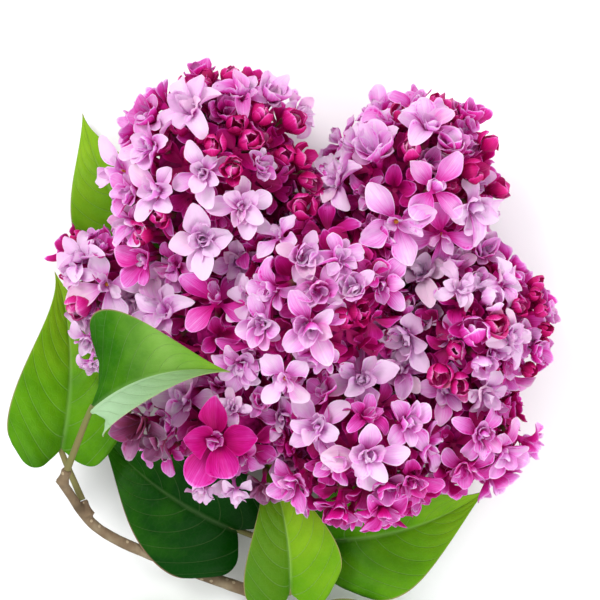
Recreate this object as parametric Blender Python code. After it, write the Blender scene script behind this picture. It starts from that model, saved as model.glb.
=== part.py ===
# A cut branch of double-flowered lilac, lying on its side as it is put down on a table.
#
# A forked woody stem carries nine flower heads, whose tips are still in bud, and heart-shaped
# leaves on their stalks. Lengths are in millimetres here and become metres in make_object.
# X runs across the bunch, Y along the stem towards the flowers, and Z up from the table.
import itertools
import math
import random

import bmesh
import bpy
from mathutils import Vector
from mathutils.bvhtree import BVHTree

MM = 0.001
GOLDEN_ANGLE = math.pi * (3 - math.sqrt(5))

# The whole bunch moves by this, so that its box is centred on the origin.
CENTRE_SHIFT = Vector((6.0, 51.8, 0))

SEAT_GAP = 0.3  # between a stalk and the stub of wood that carries it
CLEARANCE = 0.5  # between florets of two heads, and between a floret and a leaf
SEED = 47

# Florets: four outer petals in a cross, an inner whorl of four, and a tube down to the head.
FLORET_RADIUS = 14.0
FLORET_SPACING = 17.8
CLOSER_ABOVE = 0.26  # how much closer together than that they are on top, and wider below
SITES_PER_FLORET = 4  # how many places are looked at for each
HIDDEN_DEPTH = 0.66  # a floret this deep in another head is left out
FLORET_THICKNESS = 0.85
THROAT_RADIUS = 2.3
PETAL_WIDEST = 0.74  # share of the radius at which a petal is widest
PETAL_HALF_ANGLE = math.radians(36)
INNER_WHORL_RADIUS = 4.6
INNER_WHORL_HEIGHT = 5.2
LOWEST_THROAT = 6.0  # a floret under the bunch keeps its throat this far off the table
ROOT_DEPTH = 0.15  # share of the way out from the head's middle at which a tube is rooted
TILT_SPREAD = 0.32
# What is tried in turn to place a floret: its size, how far out it sits, and its turn.
SIZES = (1, 0.86, 0.74)
REACHES = (0, -2.4, 2.4, -4.4, 4)
TWISTS = (0, math.radians(30), math.radians(60))

# Buds: fat clubs on a small core of their own, at the tip of a head.
BUD_LENGTH = 11.0
BUD_RADIUS = 4.0
BUD_SIDES = 5
CORE_SHARE = 0.5  # the core's size against the face that the florets' throats lie on
BUD_CORE_LENGTH = 0.17  # the buds' own core, as shares of the head's half length and radius
BUD_CORE_WIDTH = 0.3

# The heads. Each face is an ovoid: its middle, the way it points, its half length and radius.
# buds_from is how far along the head, from -1 at its base to 1 at its tip, the buds begin.
# wood_point is where its stalk leaves the wood, and bend is a point that the stalk passes.
HEADS = {
    "front": dict(
        centre=(8, 2, 54), points=(0.35, -0.08, 0.93), half_length=32, radius=32,
        buds=7, buds_from=0.84, wood_point=(9.4, -32, 13), bend=(4, -20, 25),
    ),
    "upper_left": dict(
        centre=(-33, 46, 42), points=(0.26, 0.58, 0.77), half_length=39, radius=33,
        buds=13, buds_from=0.72, wood_point=(-21.5, -16, 12.2), bend=(-27, 8, 10),
    ),
    "upper_right": dict(
        centre=(41, 43, 38), points=(0.42, 0.45, 0.79), half_length=35, radius=29,
        buds=9, buds_from=0.78, wood_point=(10, -29, 13), bend=(24, 6, 10),
    ),
    "right": dict(
        centre=(62, -8, 36), points=(0.6, 0.0, 0.8), half_length=33, radius=27,
        buds=10, buds_from=0.74, wood_point=(8.6, -35, 13), bend=(30, -26, 10),
    ),
    "low": dict(
        centre=(22, -51, 38), points=(0.1, -0.4, 0.91), half_length=31, radius=29,
        buds=0, buds_from=1, wood_point=(-1.5, -59, 12.2), bend=(12, -57, 18),
    ),
    "lower_right": dict(
        centre=(62, -48, 28), points=(0.5, -0.35, 0.79), half_length=25, radius=22,
        buds=0, buds_from=1, wood_point=(4.8, -47.5, 12.4), bend=(30, -46, 9),
    ),
    "left": dict(
        centre=(-74, 8, 21), points=(-0.5, 0.35, 0.79), half_length=19, radius=14,
        buds=5, buds_from=0.66, bud_size=0.8, wood_point=(-46, -9, 8.6), bend=(-57, 0, 11),
    ),
    "lower_left": dict(
        centre=(-27, -45, 30), points=(-0.3, -0.3, 0.9), half_length=24, radius=22,
        buds=0, buds_from=1, wood_point=(-13, -50, 12.4), bend=(-23, -49, 16),
    ),
    "middle_left": dict(
        centre=(-28, -8, 33), points=(-0.12, 0.2, 0.97), half_length=27, radius=25,
        buds=0, buds_from=1, wood_point=(-19.4, -27, 12.8), bend=(-25, -18, 22),
    ),
}

# The wood, as the points along each length of it, its radius at both ends and its sides.
WOOD = (
    dict(
        points=((-22, -190, 4.4), (-17, -150, 6), (-9, -105, 9), (-6, -66, 12)),
        radii=(4.4, 3.4), sides=8,
    ),
    dict(
        points=((-6, -67, 12), (-13, -49, 12.4), (-19, -29, 12.8), (-22, -14, 12)),
        radii=(3.0, 2.3), sides=6,
    ),
    dict(points=((-6, -67, 12), (4, -50, 12.4), (10, -28, 13)), radii=(3.0, 2.3), sides=6),
    dict(points=((-16, -37, 12.6), (-31, -24, 10), (-47, -8, 8.5)), radii=(2.2, 1.8), sides=6),
    dict(
        points=((-12, -120, 8), (-48, -106, 14), (-78, -90, 27), (-91, -70, 42)),
        radii=(2.6, 1.8), sides=6,
    ),
)
WOOD_STEPS = 2
STUB_LENGTH = 6.5
STUB_RADIUS = 1.9
STALK_RADIUS = 1.6
STALK_SIDES = 5
STALK_STEPS = 2

# Leaves: where the stalk leaves the wood, the blade's base and tip, its width, the way its
# upper face looks, how far its left and right half fold up from the midrib, how far the blade
# arches up and bows aside, and how far its lobes reach back beside the stalk.
LEAVES = {
    "front": dict(
        wood_point=(-91, -70, 42), base=(-78.8, -41.6, 58), tip=(-25, -26.6, 64), width=63,
        faces=(-0.1, 0.15, 0.98), folds=(6, 60), arch=5, bow=5.8, lobe=-8,
    ),
    "far_left": dict(
        wood_point=(-82, -84, 32), base=(-93, -58, 30), tip=(-98, 12, 14), width=50,
        faces=(0.25, 0.1, 0.96), folds=(20, 14), arch=8, bow=-4, lobe=8,
    ),
    "upper_left": dict(
        wood_point=(-46.5, -8.5, 8.6), base=(-58, 20, 7), tip=(-88, 76, 5), width=48,
        faces=(-0.15, 0, 0.98), folds=(12, 20), arch=9, bow=3, lobe=8,
    ),
    "dark_low": dict(
        wood_point=(-8.6, -98, 9.4), base=(-25, -92, 14), tip=(-82, -50, 10), width=54,
        faces=(-0.1, -0.1, 0.98), folds=(16, 18), arch=8, bow=3, lobe=8,
    ),
    "bright_low": dict(
        wood_point=(-9.6, -110, 8.8), base=(-4, -116, 20), tip=(-15, -58, 25), width=42,
        faces=(0.15, -0.2, 0.97), folds=(22, 20), arch=5, bow=-3, lobe=7,
    ),
    "lower_right": dict(
        wood_point=(-8.6, -98, 9.4), base=(14, -96, 11), tip=(76, -76, 6), width=52,
        faces=(0.1, -0.1, 0.98), folds=(18, 20), arch=8, bow=-3, lobe=8,
    ),
    "stem_left": dict(
        wood_point=(-15.6, -144, 6.6), base=(-35, -146, 9), tip=(-96, -151, 4), width=48,
        faces=(-0.1, 0, 0.99), folds=(18, 20), arch=9, bow=-4, lobe=8,
    ),
    "stem_right": dict(
        wood_point=(-15.6, -144, 6.6), base=(4, -144, 9), tip=(66, -142, 4), width=50,
        faces=(0.1, 0, 0.99), folds=(20, 18), arch=9, bow=4, lobe=8,
    ),
}
LEAF_THICKNESS = 0.8
LEAF_STATIONS = 7
LEAF_COLUMNS = (-1, -0.5, 0, 0.5, 1)
LEAF_WAVE = 1.6
LEAF_BASE = 0.15
LEAF_SHOULDER = 0.6
LEAF_TAPER = 1.6
PETIOLE_RADIUS = 1.2

COLOURS = {
    "bark": (0.20, 0.15, 0.10),
    "petal": (0.74, 0.36, 0.62),
    "bud": (0.45, 0.02, 0.16),
    "leaf": (0.16, 0.36, 0.06),
}
ROUGHNESS = {"bark": 0.85, "petal": 0.5, "bud": 0.4, "leaf": 0.45}


# Small helpers


def clear_scene():
    for obj in list(bpy.data.objects):
        bpy.data.objects.remove(obj, do_unlink=True)


def material(slot):
    found = bpy.data.materials.get(slot)
    if found is None:
        found = bpy.data.materials.new(slot)
        found.use_nodes = True
        shader = found.node_tree.nodes["Principled BSDF"]
        shader.inputs["Base Color"].default_value = (*COLOURS[slot], 1)
        shader.inputs["Roughness"].default_value = ROUGHNESS[slot]
        shader.inputs["Metallic"].default_value = 0
    return found


def make_object(name, shape, slot, collection=None):
    points, faces = shape
    mesh = bpy.data.meshes.new(name)
    mesh.from_pydata([(p + CENTRE_SHIFT) * MM for p in points], [], faces)
    mesh.materials.append(material(slot))
    obj = bpy.data.objects.new(name, mesh)
    (collection or bpy.context.scene.collection).objects.link(obj)
    return obj


def joined(shapes):
    """Several shapes as one list of points and one of faces."""
    points, faces = [], []
    for more_points, more_faces in shapes:
        start = len(points)
        points += more_points
        faces += [tuple(start + i for i in face) for face in more_faces]
    return points, faces


def keep_largest_piece(mesh):
    """Drops any loose scrap that the union cut off."""
    work = bmesh.new()
    work.from_mesh(mesh)
    bmesh.ops.remove_doubles(work, verts=work.verts, dist=2e-6)
    unseen = set(work.verts)
    islands = []
    while unseen:
        stack = [unseen.pop()]
        island = list(stack)
        while stack:
            for edge in stack.pop().link_edges:
                for vert in edge.verts:
                    if vert in unseen:
                        unseen.remove(vert)
                        island.append(vert)
                        stack.append(vert)
        islands.append(island)
    islands.sort(key=len)
    scraps = [vert for island in islands[:-1] for vert in island]
    bmesh.ops.delete(work, geom=scraps, context="VERTS")
    bmesh.ops.triangulate(work, faces=work.faces)
    work.to_mesh(mesh)
    work.free()


def fused(name, shapes, slot, solver="EXACT"):
    """One solid of all the shapes, by a Boolean union on a collection."""
    repeats = bpy.data.collections.new(name + "_repeats")
    bpy.context.scene.collection.children.link(repeats)
    body = make_object(name, shapes[0], slot)
    for i, shape in enumerate(shapes[1:]):
        make_object(f"{name}_{i}", shape, slot, repeats)
    union = body.modifiers.new("fuse", "BOOLEAN")
    union.operation = "UNION"
    union.operand_type = "COLLECTION"
    union.collection = repeats
    union.solver = solver
    graph = bpy.context.evaluated_depsgraph_get()
    mesh = bpy.data.meshes.new_from_object(body.evaluated_get(graph))
    body.modifiers.clear()
    body.data = mesh
    mesh.name = name
    for obj in list(repeats.objects):
        bpy.data.objects.remove(obj, do_unlink=True)
    bpy.data.collections.remove(repeats)
    keep_largest_piece(mesh)
    mesh.shade_smooth()
    mesh.set_sharp_from_angle(angle=math.radians(35))
    return body


def tree_of(shape):
    return BVHTree.FromPolygons(shape[0], shape[1])


# Round lengths: wood, stalks and the cores of the heads


def smooth_route(points, steps):
    """Points along a smooth curve through the given ones (Catmull-Rom)."""
    points = [Vector(p) for p in points]
    ends = [2 * points[0] - points[1], *points, 2 * points[-1] - points[-2]]
    route = []
    for a, b, c, d in zip(ends, ends[1:], ends[2:], ends[3:]):
        for i in range(steps):
            t = i / steps
            route.append(
                0.5 * ((2 * b) + (c - a) * t + (2 * a - 5 * b + 4 * c - d) * t * t
                       + (3 * b - a - 3 * c + d) * t**3)
            )
    return [*route, points[-1]]


def tube(route, radii, sides):
    """A closed tube along a route, whose radius runs from the first of radii to the last."""
    points, faces = [], []
    across = (route[1] - route[0]).orthogonal().normalized()
    last = len(route) - 1
    for i, middle in enumerate(route):
        along = (route[min(i + 1, last)] - route[max(i - 1, 0)]).normalized()
        across = (across - along * across.dot(along)).normalized()
        other = along.cross(across)
        radius = radii[0] + (radii[1] - radii[0]) * i / last
        for k in range(sides):
            turn = 2 * math.pi * k / sides
            points.append(middle + radius * (across * math.cos(turn) + other * math.sin(turn)))
    for i in range(last):
        for k in range(sides):
            a, b = i * sides + k, i * sides + (k + 1) % sides
            faces += [(a, b, b + sides), (a, b + sides, a + sides)]
    faces.append(tuple(reversed(range(sides))))
    faces.append(tuple(range(last * sides, (last + 1) * sides)))
    return points, faces


def ovoid(centre, axis, half_length, radius):
    """A low round core, pointing along axis."""
    work = bmesh.new()
    bmesh.ops.create_icosphere(work, subdivisions=2, radius=1)
    side = axis.orthogonal().normalized()
    other = axis.cross(side)
    points = [
        centre + radius * (side * v.co.x + other * v.co.y) + half_length * axis * v.co.z
        for v in work.verts
    ]
    faces = [tuple(v.index for v in face.verts) for face in work.faces]
    work.free()
    return points, faces


def stub_and_seat(wood_point, towards):
    """The stub of wood that a stalk sits on, and the point where the stalk begins."""
    start = Vector(wood_point)
    way = (Vector(towards) - start).normalized()
    end = start + way * STUB_LENGTH
    return tube([start, end], (STUB_RADIUS, STUB_RADIUS), STALK_SIDES), end + way * SEAT_GAP


def stem():
    """The wood: trunk, fork and twigs, with a stub for each stalk."""
    shapes = [
        tube(smooth_route(length["points"], WOOD_STEPS), length["radii"], length["sides"])
        for length in WOOD
    ]
    shapes += [stub_and_seat(head["wood_point"], head["bend"])[0] for head in HEADS.values()]
    shapes += [stub_and_seat(leaf["wood_point"], leaf["base"])[0] for leaf in LEAVES.values()]
    return shapes


# Leaves


def leaf_outline(u):
    """The blade's half width at u along it, as a share of its greatest: broad base, long tip."""
    widest = (LEAF_SHOULDER - LEAF_TAPER * LEAF_BASE) / (LEAF_TAPER + LEAF_SHOULDER)
    greatest = (1 - widest) ** LEAF_TAPER * (LEAF_BASE + widest) ** LEAF_SHOULDER
    return (1 - u) ** LEAF_TAPER * (LEAF_BASE + u) ** LEAF_SHOULDER / greatest


def leaf_point(leaf, frame, u, v):
    """A point on the middle of the blade, u along the midrib and v across it."""
    base, along, across, face = frame
    length = (Vector(leaf["tip"]) - base).length
    left, right = leaf["folds"]
    fold = math.radians(left if v > 0 else right)
    out = abs(v) * leaf["width"] / 2 * leaf_outline(u)
    back = leaf["lobe"] * math.sin(math.pi * 0.85 * abs(v)) * (1 - u) ** 4
    wave = LEAF_WAVE * v * v * math.sin(11 * u + 2 * v) * (1 - u)
    lift = out * math.sin(fold) + 4 * leaf["arch"] * u * (1 - u) + wave
    return (
        base
        + along * (length * u - back)
        + across * (math.copysign(out, v) * math.cos(fold) + 4 * leaf["bow"] * u * (1 - u))
        + face * lift
    )


def leaf_frame(leaf):
    base = Vector(leaf["base"])
    along = (Vector(leaf["tip"]) - base).normalized()
    across = Vector(leaf["faces"]).cross(along).normalized()
    return base, along, across, along.cross(across)


def leaf_blade(leaf):
    """The blade as a closed sheet, with both faces split into triangles alike."""
    frame = leaf_frame(leaf)
    step = 0.01
    rows = []
    for i in range(LEAF_STATIONS):
        u = i / LEAF_STATIONS
        rows.append([(u, v) for v in LEAF_COLUMNS])
    upper, lower = [], []
    for u, v in [uv for row in rows for uv in row] + [(1, 0)]:
        middle = leaf_point(leaf, frame, u, v)
        inner = min(max(u, step), 1 - 4 * step)
        slope = leaf_point(leaf, frame, inner + step, v) - leaf_point(leaf, frame, inner - step, v)
        spread = leaf_point(leaf, frame, inner, min(v + step, 1)) - leaf_point(
            leaf, frame, inner, max(v - step, -1)
        )
        normal = slope.cross(spread).normalized()
        upper.append(middle + normal * LEAF_THICKNESS / 2)
        lower.append(middle - normal * LEAF_THICKNESS / 2)
    count, columns = len(upper), len(LEAF_COLUMNS)
    faces = []
    for i in range(LEAF_STATIONS - 1):
        for k in range(columns - 1):
            a, b = i * columns + k, i * columns + k + 1
            faces += [(a, a + columns, b + columns), (a, b + columns, b)]
    last_row = (LEAF_STATIONS - 1) * columns
    faces += [(last_row + k, count - 1, last_row + k + 1) for k in range(columns - 1)]
    rim = list(range(columns))
    rim += [i * columns + columns - 1 for i in range(1, LEAF_STATIONS)]
    rim.append(count - 1)
    rim += [i * columns for i in range(LEAF_STATIONS - 1, 0, -1)]
    faces += [tuple(count + i for i in reversed(face)) for face in faces]
    for a, b in zip(rim, rim[1:] + rim[:1]):
        faces += [(a, b, count + b), (a, count + b, count + a)]
    return upper + lower, faces


def leaf_shapes(leaf):
    """The blade, and the stalk from its seat on the wood into the base of the midrib."""
    base, _, _, face = leaf_frame(leaf)
    _, seat = stub_and_seat(leaf["wood_point"], leaf["base"])
    sunk = leaf_point(leaf, leaf_frame(leaf), 0.12, 0)
    route = smooth_route([seat, base - face * 0.5, sunk], STALK_STEPS)
    return [leaf_blade(leaf), tube(route, (PETIOLE_RADIUS, PETIOLE_RADIUS * 0.8), STALK_SIDES)]


# Flower heads


def head_frame(head):
    axis = Vector(head["points"]).normalized()
    side = axis.orthogonal().normalized()
    return Vector(head["centre"]), axis, side, axis.cross(side)


def depth_in(head, point):
    """How deep a point lies in a head: 0 at its middle and 1 on the face of its throats."""
    centre, axis, _, _ = head_frame(head)
    off = point - centre
    along = off.dot(axis)
    out = (off - axis * along).length
    return math.hypot(along / head["half_length"], out / head["radius"])


def face_sites(head, count, first=-1.0):
    """Points spread evenly over the head's face by the golden angle, from its tip down to first,
    each with the way out from there."""
    centre, axis, side, other = head_frame(head)
    sites = []
    for i in range(count):
        along = 1 - (1 - first) * (i + 0.5) / count
        out = math.sqrt(1 - along * along)
        turn = i * GOLDEN_ANGLE
        ray = side * math.cos(turn) + other * math.sin(turn)
        point = centre + axis * along * head["half_length"] + ray * out * head["radius"]
        way = (axis * along / head["half_length"] + ray * out / head["radius"]).normalized()
        sites.append((along, point, way))
    return sites


def floret(point, way, root, radius, turn, cup, margin=0.0):
    """One floret whose throat is at point and which faces way, with its tube down to root.
    A margin makes it stouter all round, to test how clear it lies."""
    side = way.orthogonal().normalized()
    other = way.cross(side)
    reach = radius + margin
    half = FLORET_THICKNESS / 2 + margin
    ring = (
        (-math.pi / 4, THROAT_RADIUS + margin, 0.0),
        (-PETAL_HALF_ANGLE, PETAL_WIDEST * reach, 0.75 * cup),
        (0.0, reach, cup),
        (PETAL_HALF_ANGLE, PETAL_WIDEST * reach, 0.75 * cup),
    )
    outer, inner = [], []
    for petal in range(4):
        for angle, out, lift in ring:
            around = turn + petal * math.pi / 2 + angle
            ray = side * math.cos(around) + other * math.sin(around)
            middle = point + ray * out + way * lift
            outer.append(middle + way * half)
            inner.append(middle - way * half)
    centre = point + way * (half - 0.4)
    tips = []
    for petal in range(4):
        around = turn + petal * math.pi / 2
        ray = side * math.cos(around) + other * math.sin(around)
        tips.append(point + ray * INNER_WHORL_RADIUS + way * (INNER_WHORL_HEIGHT + margin))
    # The petals that meet the table lie flat on it.
    lower, upper = (outer, inner) if way.z < 0 else (inner, outer)
    for p in [*lower, centre, *tips]:
        p.z = max(p.z, 0)
    for p in upper:
        p.z = max(p.z, FLORET_THICKNESS)
    points = [*outer, *inner, centre, *tips, root]
    middle, first_tip, end = 32, 33, 37
    faces = []
    for petal in range(4):
        notch, left, tip, right = (4 * petal + k for k in range(4))
        following = (4 * petal + 4) % 16
        crown = first_tip + petal
        petal_faces = [(notch, left, tip), (notch, tip, following), (following, tip, right)]
        faces += petal_faces
        faces += [tuple(16 + i for i in reversed(face)) for face in petal_faces]
        faces += [(middle, notch, crown), (notch, following, crown), (following, middle, crown)]
        faces.append((16 + notch, end, 16 + following))
        outline = (notch, left, tip, right, following)
        for a, b in zip(outline, outline[1:]):
            faces += [(16 + a, 16 + b, b), (16 + a, b, a)]
    return points, faces


def bud(point, way, root, size):
    """One bud: a fat club with a blunt tip, on a narrow tube down to root."""
    side = way.orthogonal().normalized()
    other = way.cross(side)
    points = [root]
    length, fattest = size * BUD_LENGTH, size * BUD_RADIUS
    for height, radius in ((-length * 0.55, fattest * 0.42), (0, fattest)):
        for k in range(BUD_SIDES):
            turn = 2 * math.pi * k / BUD_SIDES
            ray = side * math.cos(turn) + other * math.sin(turn)
            points.append(point + way * height + ray * radius)
    points.append(point + way * length * 0.42)
    faces = []
    for k in range(BUD_SIDES):
        a, b = 1 + k, 1 + (k + 1) % BUD_SIDES
        faces += [(0, b, a), (a, b, b + BUD_SIDES), (a, b + BUD_SIDES, a + BUD_SIDES)]
        faces.append((a + BUD_SIDES, b + BUD_SIDES, 1 + 2 * BUD_SIDES))
    return points, faces


def head_core(head):
    """The head's middle, and the stalk that carries it from its seat on the wood."""
    centre, axis, _, _ = head_frame(head)
    half_length = CORE_SHARE * head["half_length"]
    core = ovoid(centre, axis, half_length, CORE_SHARE * head["radius"])
    _, seat = stub_and_seat(head["wood_point"], head["bend"])
    way = (seat - Vector(head["wood_point"])).normalized()
    inside = centre - axis * half_length * 0.6
    route = smooth_route([seat, seat + way * 3, head["bend"], inside], STALK_STEPS)
    return [core, tube(route, (STALK_RADIUS, STALK_RADIUS), STALK_SIDES)]


def bud_cluster(head):
    """The head's unopened tip: a core of its own just beyond the head's, with buds all over."""
    centre, axis, _, _ = head_frame(head)
    half_length = BUD_CORE_LENGTH * head["half_length"]
    middle = centre + axis * (CORE_SHARE * head["half_length"] + SEAT_GAP + half_length)
    shapes = [ovoid(middle, axis, half_length, BUD_CORE_WIDTH * head["radius"])]
    root = middle - axis * half_length * 0.5
    for _, point, way in face_sites(head, head["buds"], head["buds_from"]):
        shapes.append(bud(point, (way + axis).normalized(), root, head.get("bud_size", 1)))
    return shapes


def head_florets(name, head, others, throats):
    """The head's florets. Each takes the first place near its site that lies clear of the rest
    of the bunch, and of its own neighbours if it can; one that lies clear nowhere is left out.
    They sit closer together on top, where they are seen, than underneath."""
    rng = random.Random(f"{SEED} {name}")
    centre, axis, _, _ = head_frame(head)
    area = 4 * math.pi * head["radius"] * (0.4 * head["radius"] + 0.6 * head["half_length"])
    count = round(SITES_PER_FLORET * area / FLORET_SPACING**2)
    shapes, placed = [], []
    for along, point, way in face_sites(head, count):
        lean = Vector([rng.uniform(-1, 1) for _ in range(3)])
        full = FLORET_RADIUS * rng.uniform(0.88, 1.1)
        turn = rng.uniform(0, math.pi / 2)
        cup = rng.uniform(0.5, 4.5)
        if along > head["buds_from"] - 0.06:
            continue
        spacing = FLORET_SPACING * (1 - CLOSER_ABOVE * way.z)
        if any((point - throat).length < spacing for throat in throats):
            continue
        if any(depth_in(other, point) < HIDDEN_DEPTH for other in HEADS.values()):
            continue
        way = (way + TILT_SPREAD * lean).normalized()
        found, fallback = None, None
        for size, reach, twist in itertools.product(SIZES, REACHES, TWISTS):
            at = point + way * reach
            at.z = max(at.z, LOWEST_THROAT)
            root = centre + (at - centre) * ROOT_DEPTH
            kind = (at, way, root, full * size, turn + twist, cup)
            stout = tree_of(floret(*kind, CLEARANCE))
            if any(stout.overlap(other) for other in others):
                continue
            shape = floret(*kind)
            own = tree_of(shape)
            near = [tree for spot, tree in placed if (spot - at).length < 3 * FLORET_RADIUS]
            if not any(own.overlap(tree) for tree in near):
                found = (shape, own, at)
                break
            fallback = fallback or (shape, own, at)
        found = found or fallback
        if found:
            shapes.append(found[0])
            placed.append((found[2], found[1]))
            throats.append(point)
    return shapes


def main():
    clear_scene()
    wood = stem()
    leaves = {name: leaf_shapes(leaf) for name, leaf in LEAVES.items()}
    cores = {name: head_core(head) for name, head in HEADS.items()}
    buds = {name: bud_cluster(head) for name, head in HEADS.items() if head["buds"]}
    fused("stem_wood", wood, "bark")
    for name, shapes in leaves.items():
        fused("leaf_" + name, shapes, "leaf")
    for name, shapes in buds.items():
        fused("buds_" + name, shapes, "bud")
    fixed = [tree_of(joined(shapes)) for shapes in (wood, *leaves.values(), *buds.values())]
    florets, throats = {}, []
    for name, head in HEADS.items():
        others = fixed + [tree_of(joined(cores[n] + florets.get(n, []))) for n in HEADS if n != name]
        florets[name] = head_florets(name, head, others, throats)
        fused("florets_" + name, cores[name] + florets[name], "petal", solver="MANIFOLD")


main()
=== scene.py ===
# A cut branch of double-flowered lilac lying on a table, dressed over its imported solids.
# Lengths are millimetres until a mesh is made, and bunch coordinates are shifted to the frame's.
import math
import random

import bpy
import numpy as np
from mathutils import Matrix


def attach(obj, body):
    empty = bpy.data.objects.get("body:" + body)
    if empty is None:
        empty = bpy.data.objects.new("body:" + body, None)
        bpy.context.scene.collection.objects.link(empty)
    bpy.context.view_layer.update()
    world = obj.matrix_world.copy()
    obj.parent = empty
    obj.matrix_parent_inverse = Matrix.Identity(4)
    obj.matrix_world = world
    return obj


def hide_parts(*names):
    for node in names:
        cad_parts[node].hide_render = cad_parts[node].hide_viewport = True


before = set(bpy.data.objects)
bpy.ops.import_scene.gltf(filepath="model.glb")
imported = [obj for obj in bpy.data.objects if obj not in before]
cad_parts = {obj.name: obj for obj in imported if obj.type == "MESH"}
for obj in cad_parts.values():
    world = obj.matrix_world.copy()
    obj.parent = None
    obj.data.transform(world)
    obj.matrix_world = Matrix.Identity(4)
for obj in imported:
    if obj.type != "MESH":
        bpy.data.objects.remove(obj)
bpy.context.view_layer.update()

mm = 0.001
bunchShift = np.array((6.0, 51.8, 0.0))
goldenAngle = math.pi * (3 - math.sqrt(5))
seed = 47


# Small helpers


def unit(v):
    return v / np.linalg.norm(v)


def smooth(t):
    t = np.clip(t, 0, 1)
    return t * t * (3 - 2 * t)


# two directions square to way and to each other
def crossAxes(way):
    start = np.array((0.0, 1, 0)) if abs(way[1]) < 0.8 else np.array((1.0, 0, 0))
    side = unit(np.cross(start, way))
    return side, np.cross(way, side)


def addObject(name, data):
    made = bpy.data.objects.new(name, data)
    bpy.context.scene.collection.objects.link(made)
    return made


# Camera

view = dict(place=(6.0, 51.8, 705.0), lens=104.0, sensor=36.0, pixels=600)


def setCamera():
    data = bpy.data.cameras.new("photoView")
    data.lens, data.sensor_width = view["lens"], view["sensor"]
    camera = addObject("photoView", data)
    camera.location = [c * mm for c in view["place"]]
    bpy.context.scene.camera = camera


# Node helpers


def newMaterial(name, roughness, specular):
    made = bpy.data.materials.new(name)
    made.use_nodes = True
    tree = made.node_tree
    shader = tree.nodes["Principled BSDF"]
    shader.inputs["Roughness"].default_value = roughness
    shader.inputs["Specular IOR Level"].default_value = specular
    return made, tree, shader


def addNode(tree, kind, **values):
    node = tree.nodes.new(kind)
    for key, value in values.items():
        if key in node.inputs:
            node.inputs[key].default_value = value
        else:
            setattr(node, key, value)
    return node


def fill(tree, socket, value):
    if isinstance(value, (int, float)):
        socket.default_value = value
    elif isinstance(value, tuple):
        socket.default_value = (*value, 1)
    elif value is not None:
        tree.links.new(value, socket)


def maths(tree, operation, a, b=None, clamp=False):
    node = tree.nodes.new("ShaderNodeMath")
    node.operation, node.use_clamp = operation, clamp
    fill(tree, node.inputs[0], a)
    fill(tree, node.inputs[1], b)
    return node.outputs[0]


def times(tree, a, b, clamp=False):
    return maths(tree, "MULTIPLY", a, b, clamp)


def plus(tree, a, b, clamp=False):
    return maths(tree, "ADD", a, b, clamp)


def minus(tree, a, b, clamp=False):
    return maths(tree, "SUBTRACT", a, b, clamp)


# 1 where value is 0, down to 0 where it is 1 / gain
def fade(tree, value, gain):
    return minus(tree, 1.0, times(tree, value, gain), clamp=True)


# how far value is past start, times gain
def past(tree, value, start, gain, clamp=False):
    return times(tree, minus(tree, value, start), gain, clamp)


def ramp(tree, factor, stops):
    node = tree.nodes.new("ShaderNodeValToRGB")
    while len(node.color_ramp.elements) < len(stops):
        node.color_ramp.elements.new(0.5)
    for element, (place, colour) in zip(node.color_ramp.elements, stops):
        element.position = place
        element.color = (*colour, 1)
    tree.links.new(factor, node.inputs[0])
    return node.outputs[0]


def objectPlace(tree):
    return tree.nodes.new("ShaderNodeTexCoord").outputs["Object"]


def noise(tree, scale, detail, vector=None):
    node = addNode(tree, "ShaderNodeTexNoise", Scale=scale, Detail=detail)
    tree.links.new(objectPlace(tree) if vector is None else vector, node.inputs["Vector"])
    return node.outputs["Fac"]


# how far a point is from its cell's middle, or from the cell's edge
def cells(tree, scale, feature="F1"):
    node = addNode(tree, "ShaderNodeTexVoronoi", Scale=scale, feature=feature)
    tree.links.new(objectPlace(tree), node.inputs["Vector"])
    return node.outputs["Distance"]


def mixColour(tree, factor, a, b, blend="MIX"):
    node = tree.nodes.new("ShaderNodeMix")
    node.data_type, node.blend_type = "RGBA", blend
    fill(tree, node.inputs[0], factor)
    fill(tree, node.inputs[6], a)
    fill(tree, node.inputs[7], b)
    return node.outputs[2]


# the three numbers of a point attribute
def readVector(tree, name):
    node = addNode(tree, "ShaderNodeAttribute", attribute_name=name)
    split = tree.nodes.new("ShaderNodeSeparateXYZ")
    tree.links.new(node.outputs["Vector"], split.inputs[0])
    return split.outputs


def joinVector(tree, x, y, z):
    node = tree.nodes.new("ShaderNodeCombineXYZ")
    for socket, value in zip(node.inputs, (x, y, z)):
        fill(tree, socket, value)
    return node.outputs[0]


def addBump(tree, shader, height, strength, distance):
    node = addNode(tree, "ShaderNodeBump", Strength=strength, Distance=distance)
    tree.links.new(height, node.inputs["Height"])
    tree.links.new(node.outputs[0], shader.inputs["Normal"])


# part of the light passes through a thin petal or blade
def letLightThrough(tree, shader, colour, share):
    glow = tree.nodes.new("ShaderNodeBsdfTranslucent")
    tree.links.new(colour, glow.inputs["Color"])
    mix = addNode(tree, "ShaderNodeMixShader", Fac=share)
    tree.links.new(shader.outputs[0], mix.inputs[1])
    tree.links.new(glow.outputs[0], mix.inputs[2])
    tree.links.new(mix.outputs[0], tree.nodes["Material Output"].inputs["Surface"])


# Mesh gathering: closed patches are collected in plain arrays and become one piece


def newPiece():
    return dict(points=[], faces=[], slots=[], place=[], tone=[], count=0)


# place and tone are three numbers a point; faces is a list of arrays of corners
def addPatch(piece, points, faces, place, tone, slot=0):
    for corners in faces:
        piece["faces"] += (corners + piece["count"]).tolist()
        piece["slots"].append(np.full(len(corners), slot))
    piece["points"].append(points)
    piece["place"].append(np.broadcast_to(place, points.shape))
    piece["tone"].append(np.broadcast_to(tone, points.shape))
    piece["count"] += len(points)


def setVectors(mesh, name, values):
    layer = mesh.attributes.new(name, "FLOAT_VECTOR", "POINT")
    layer.data.foreach_set("vector", np.asarray(values, np.float32).ravel())


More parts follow.
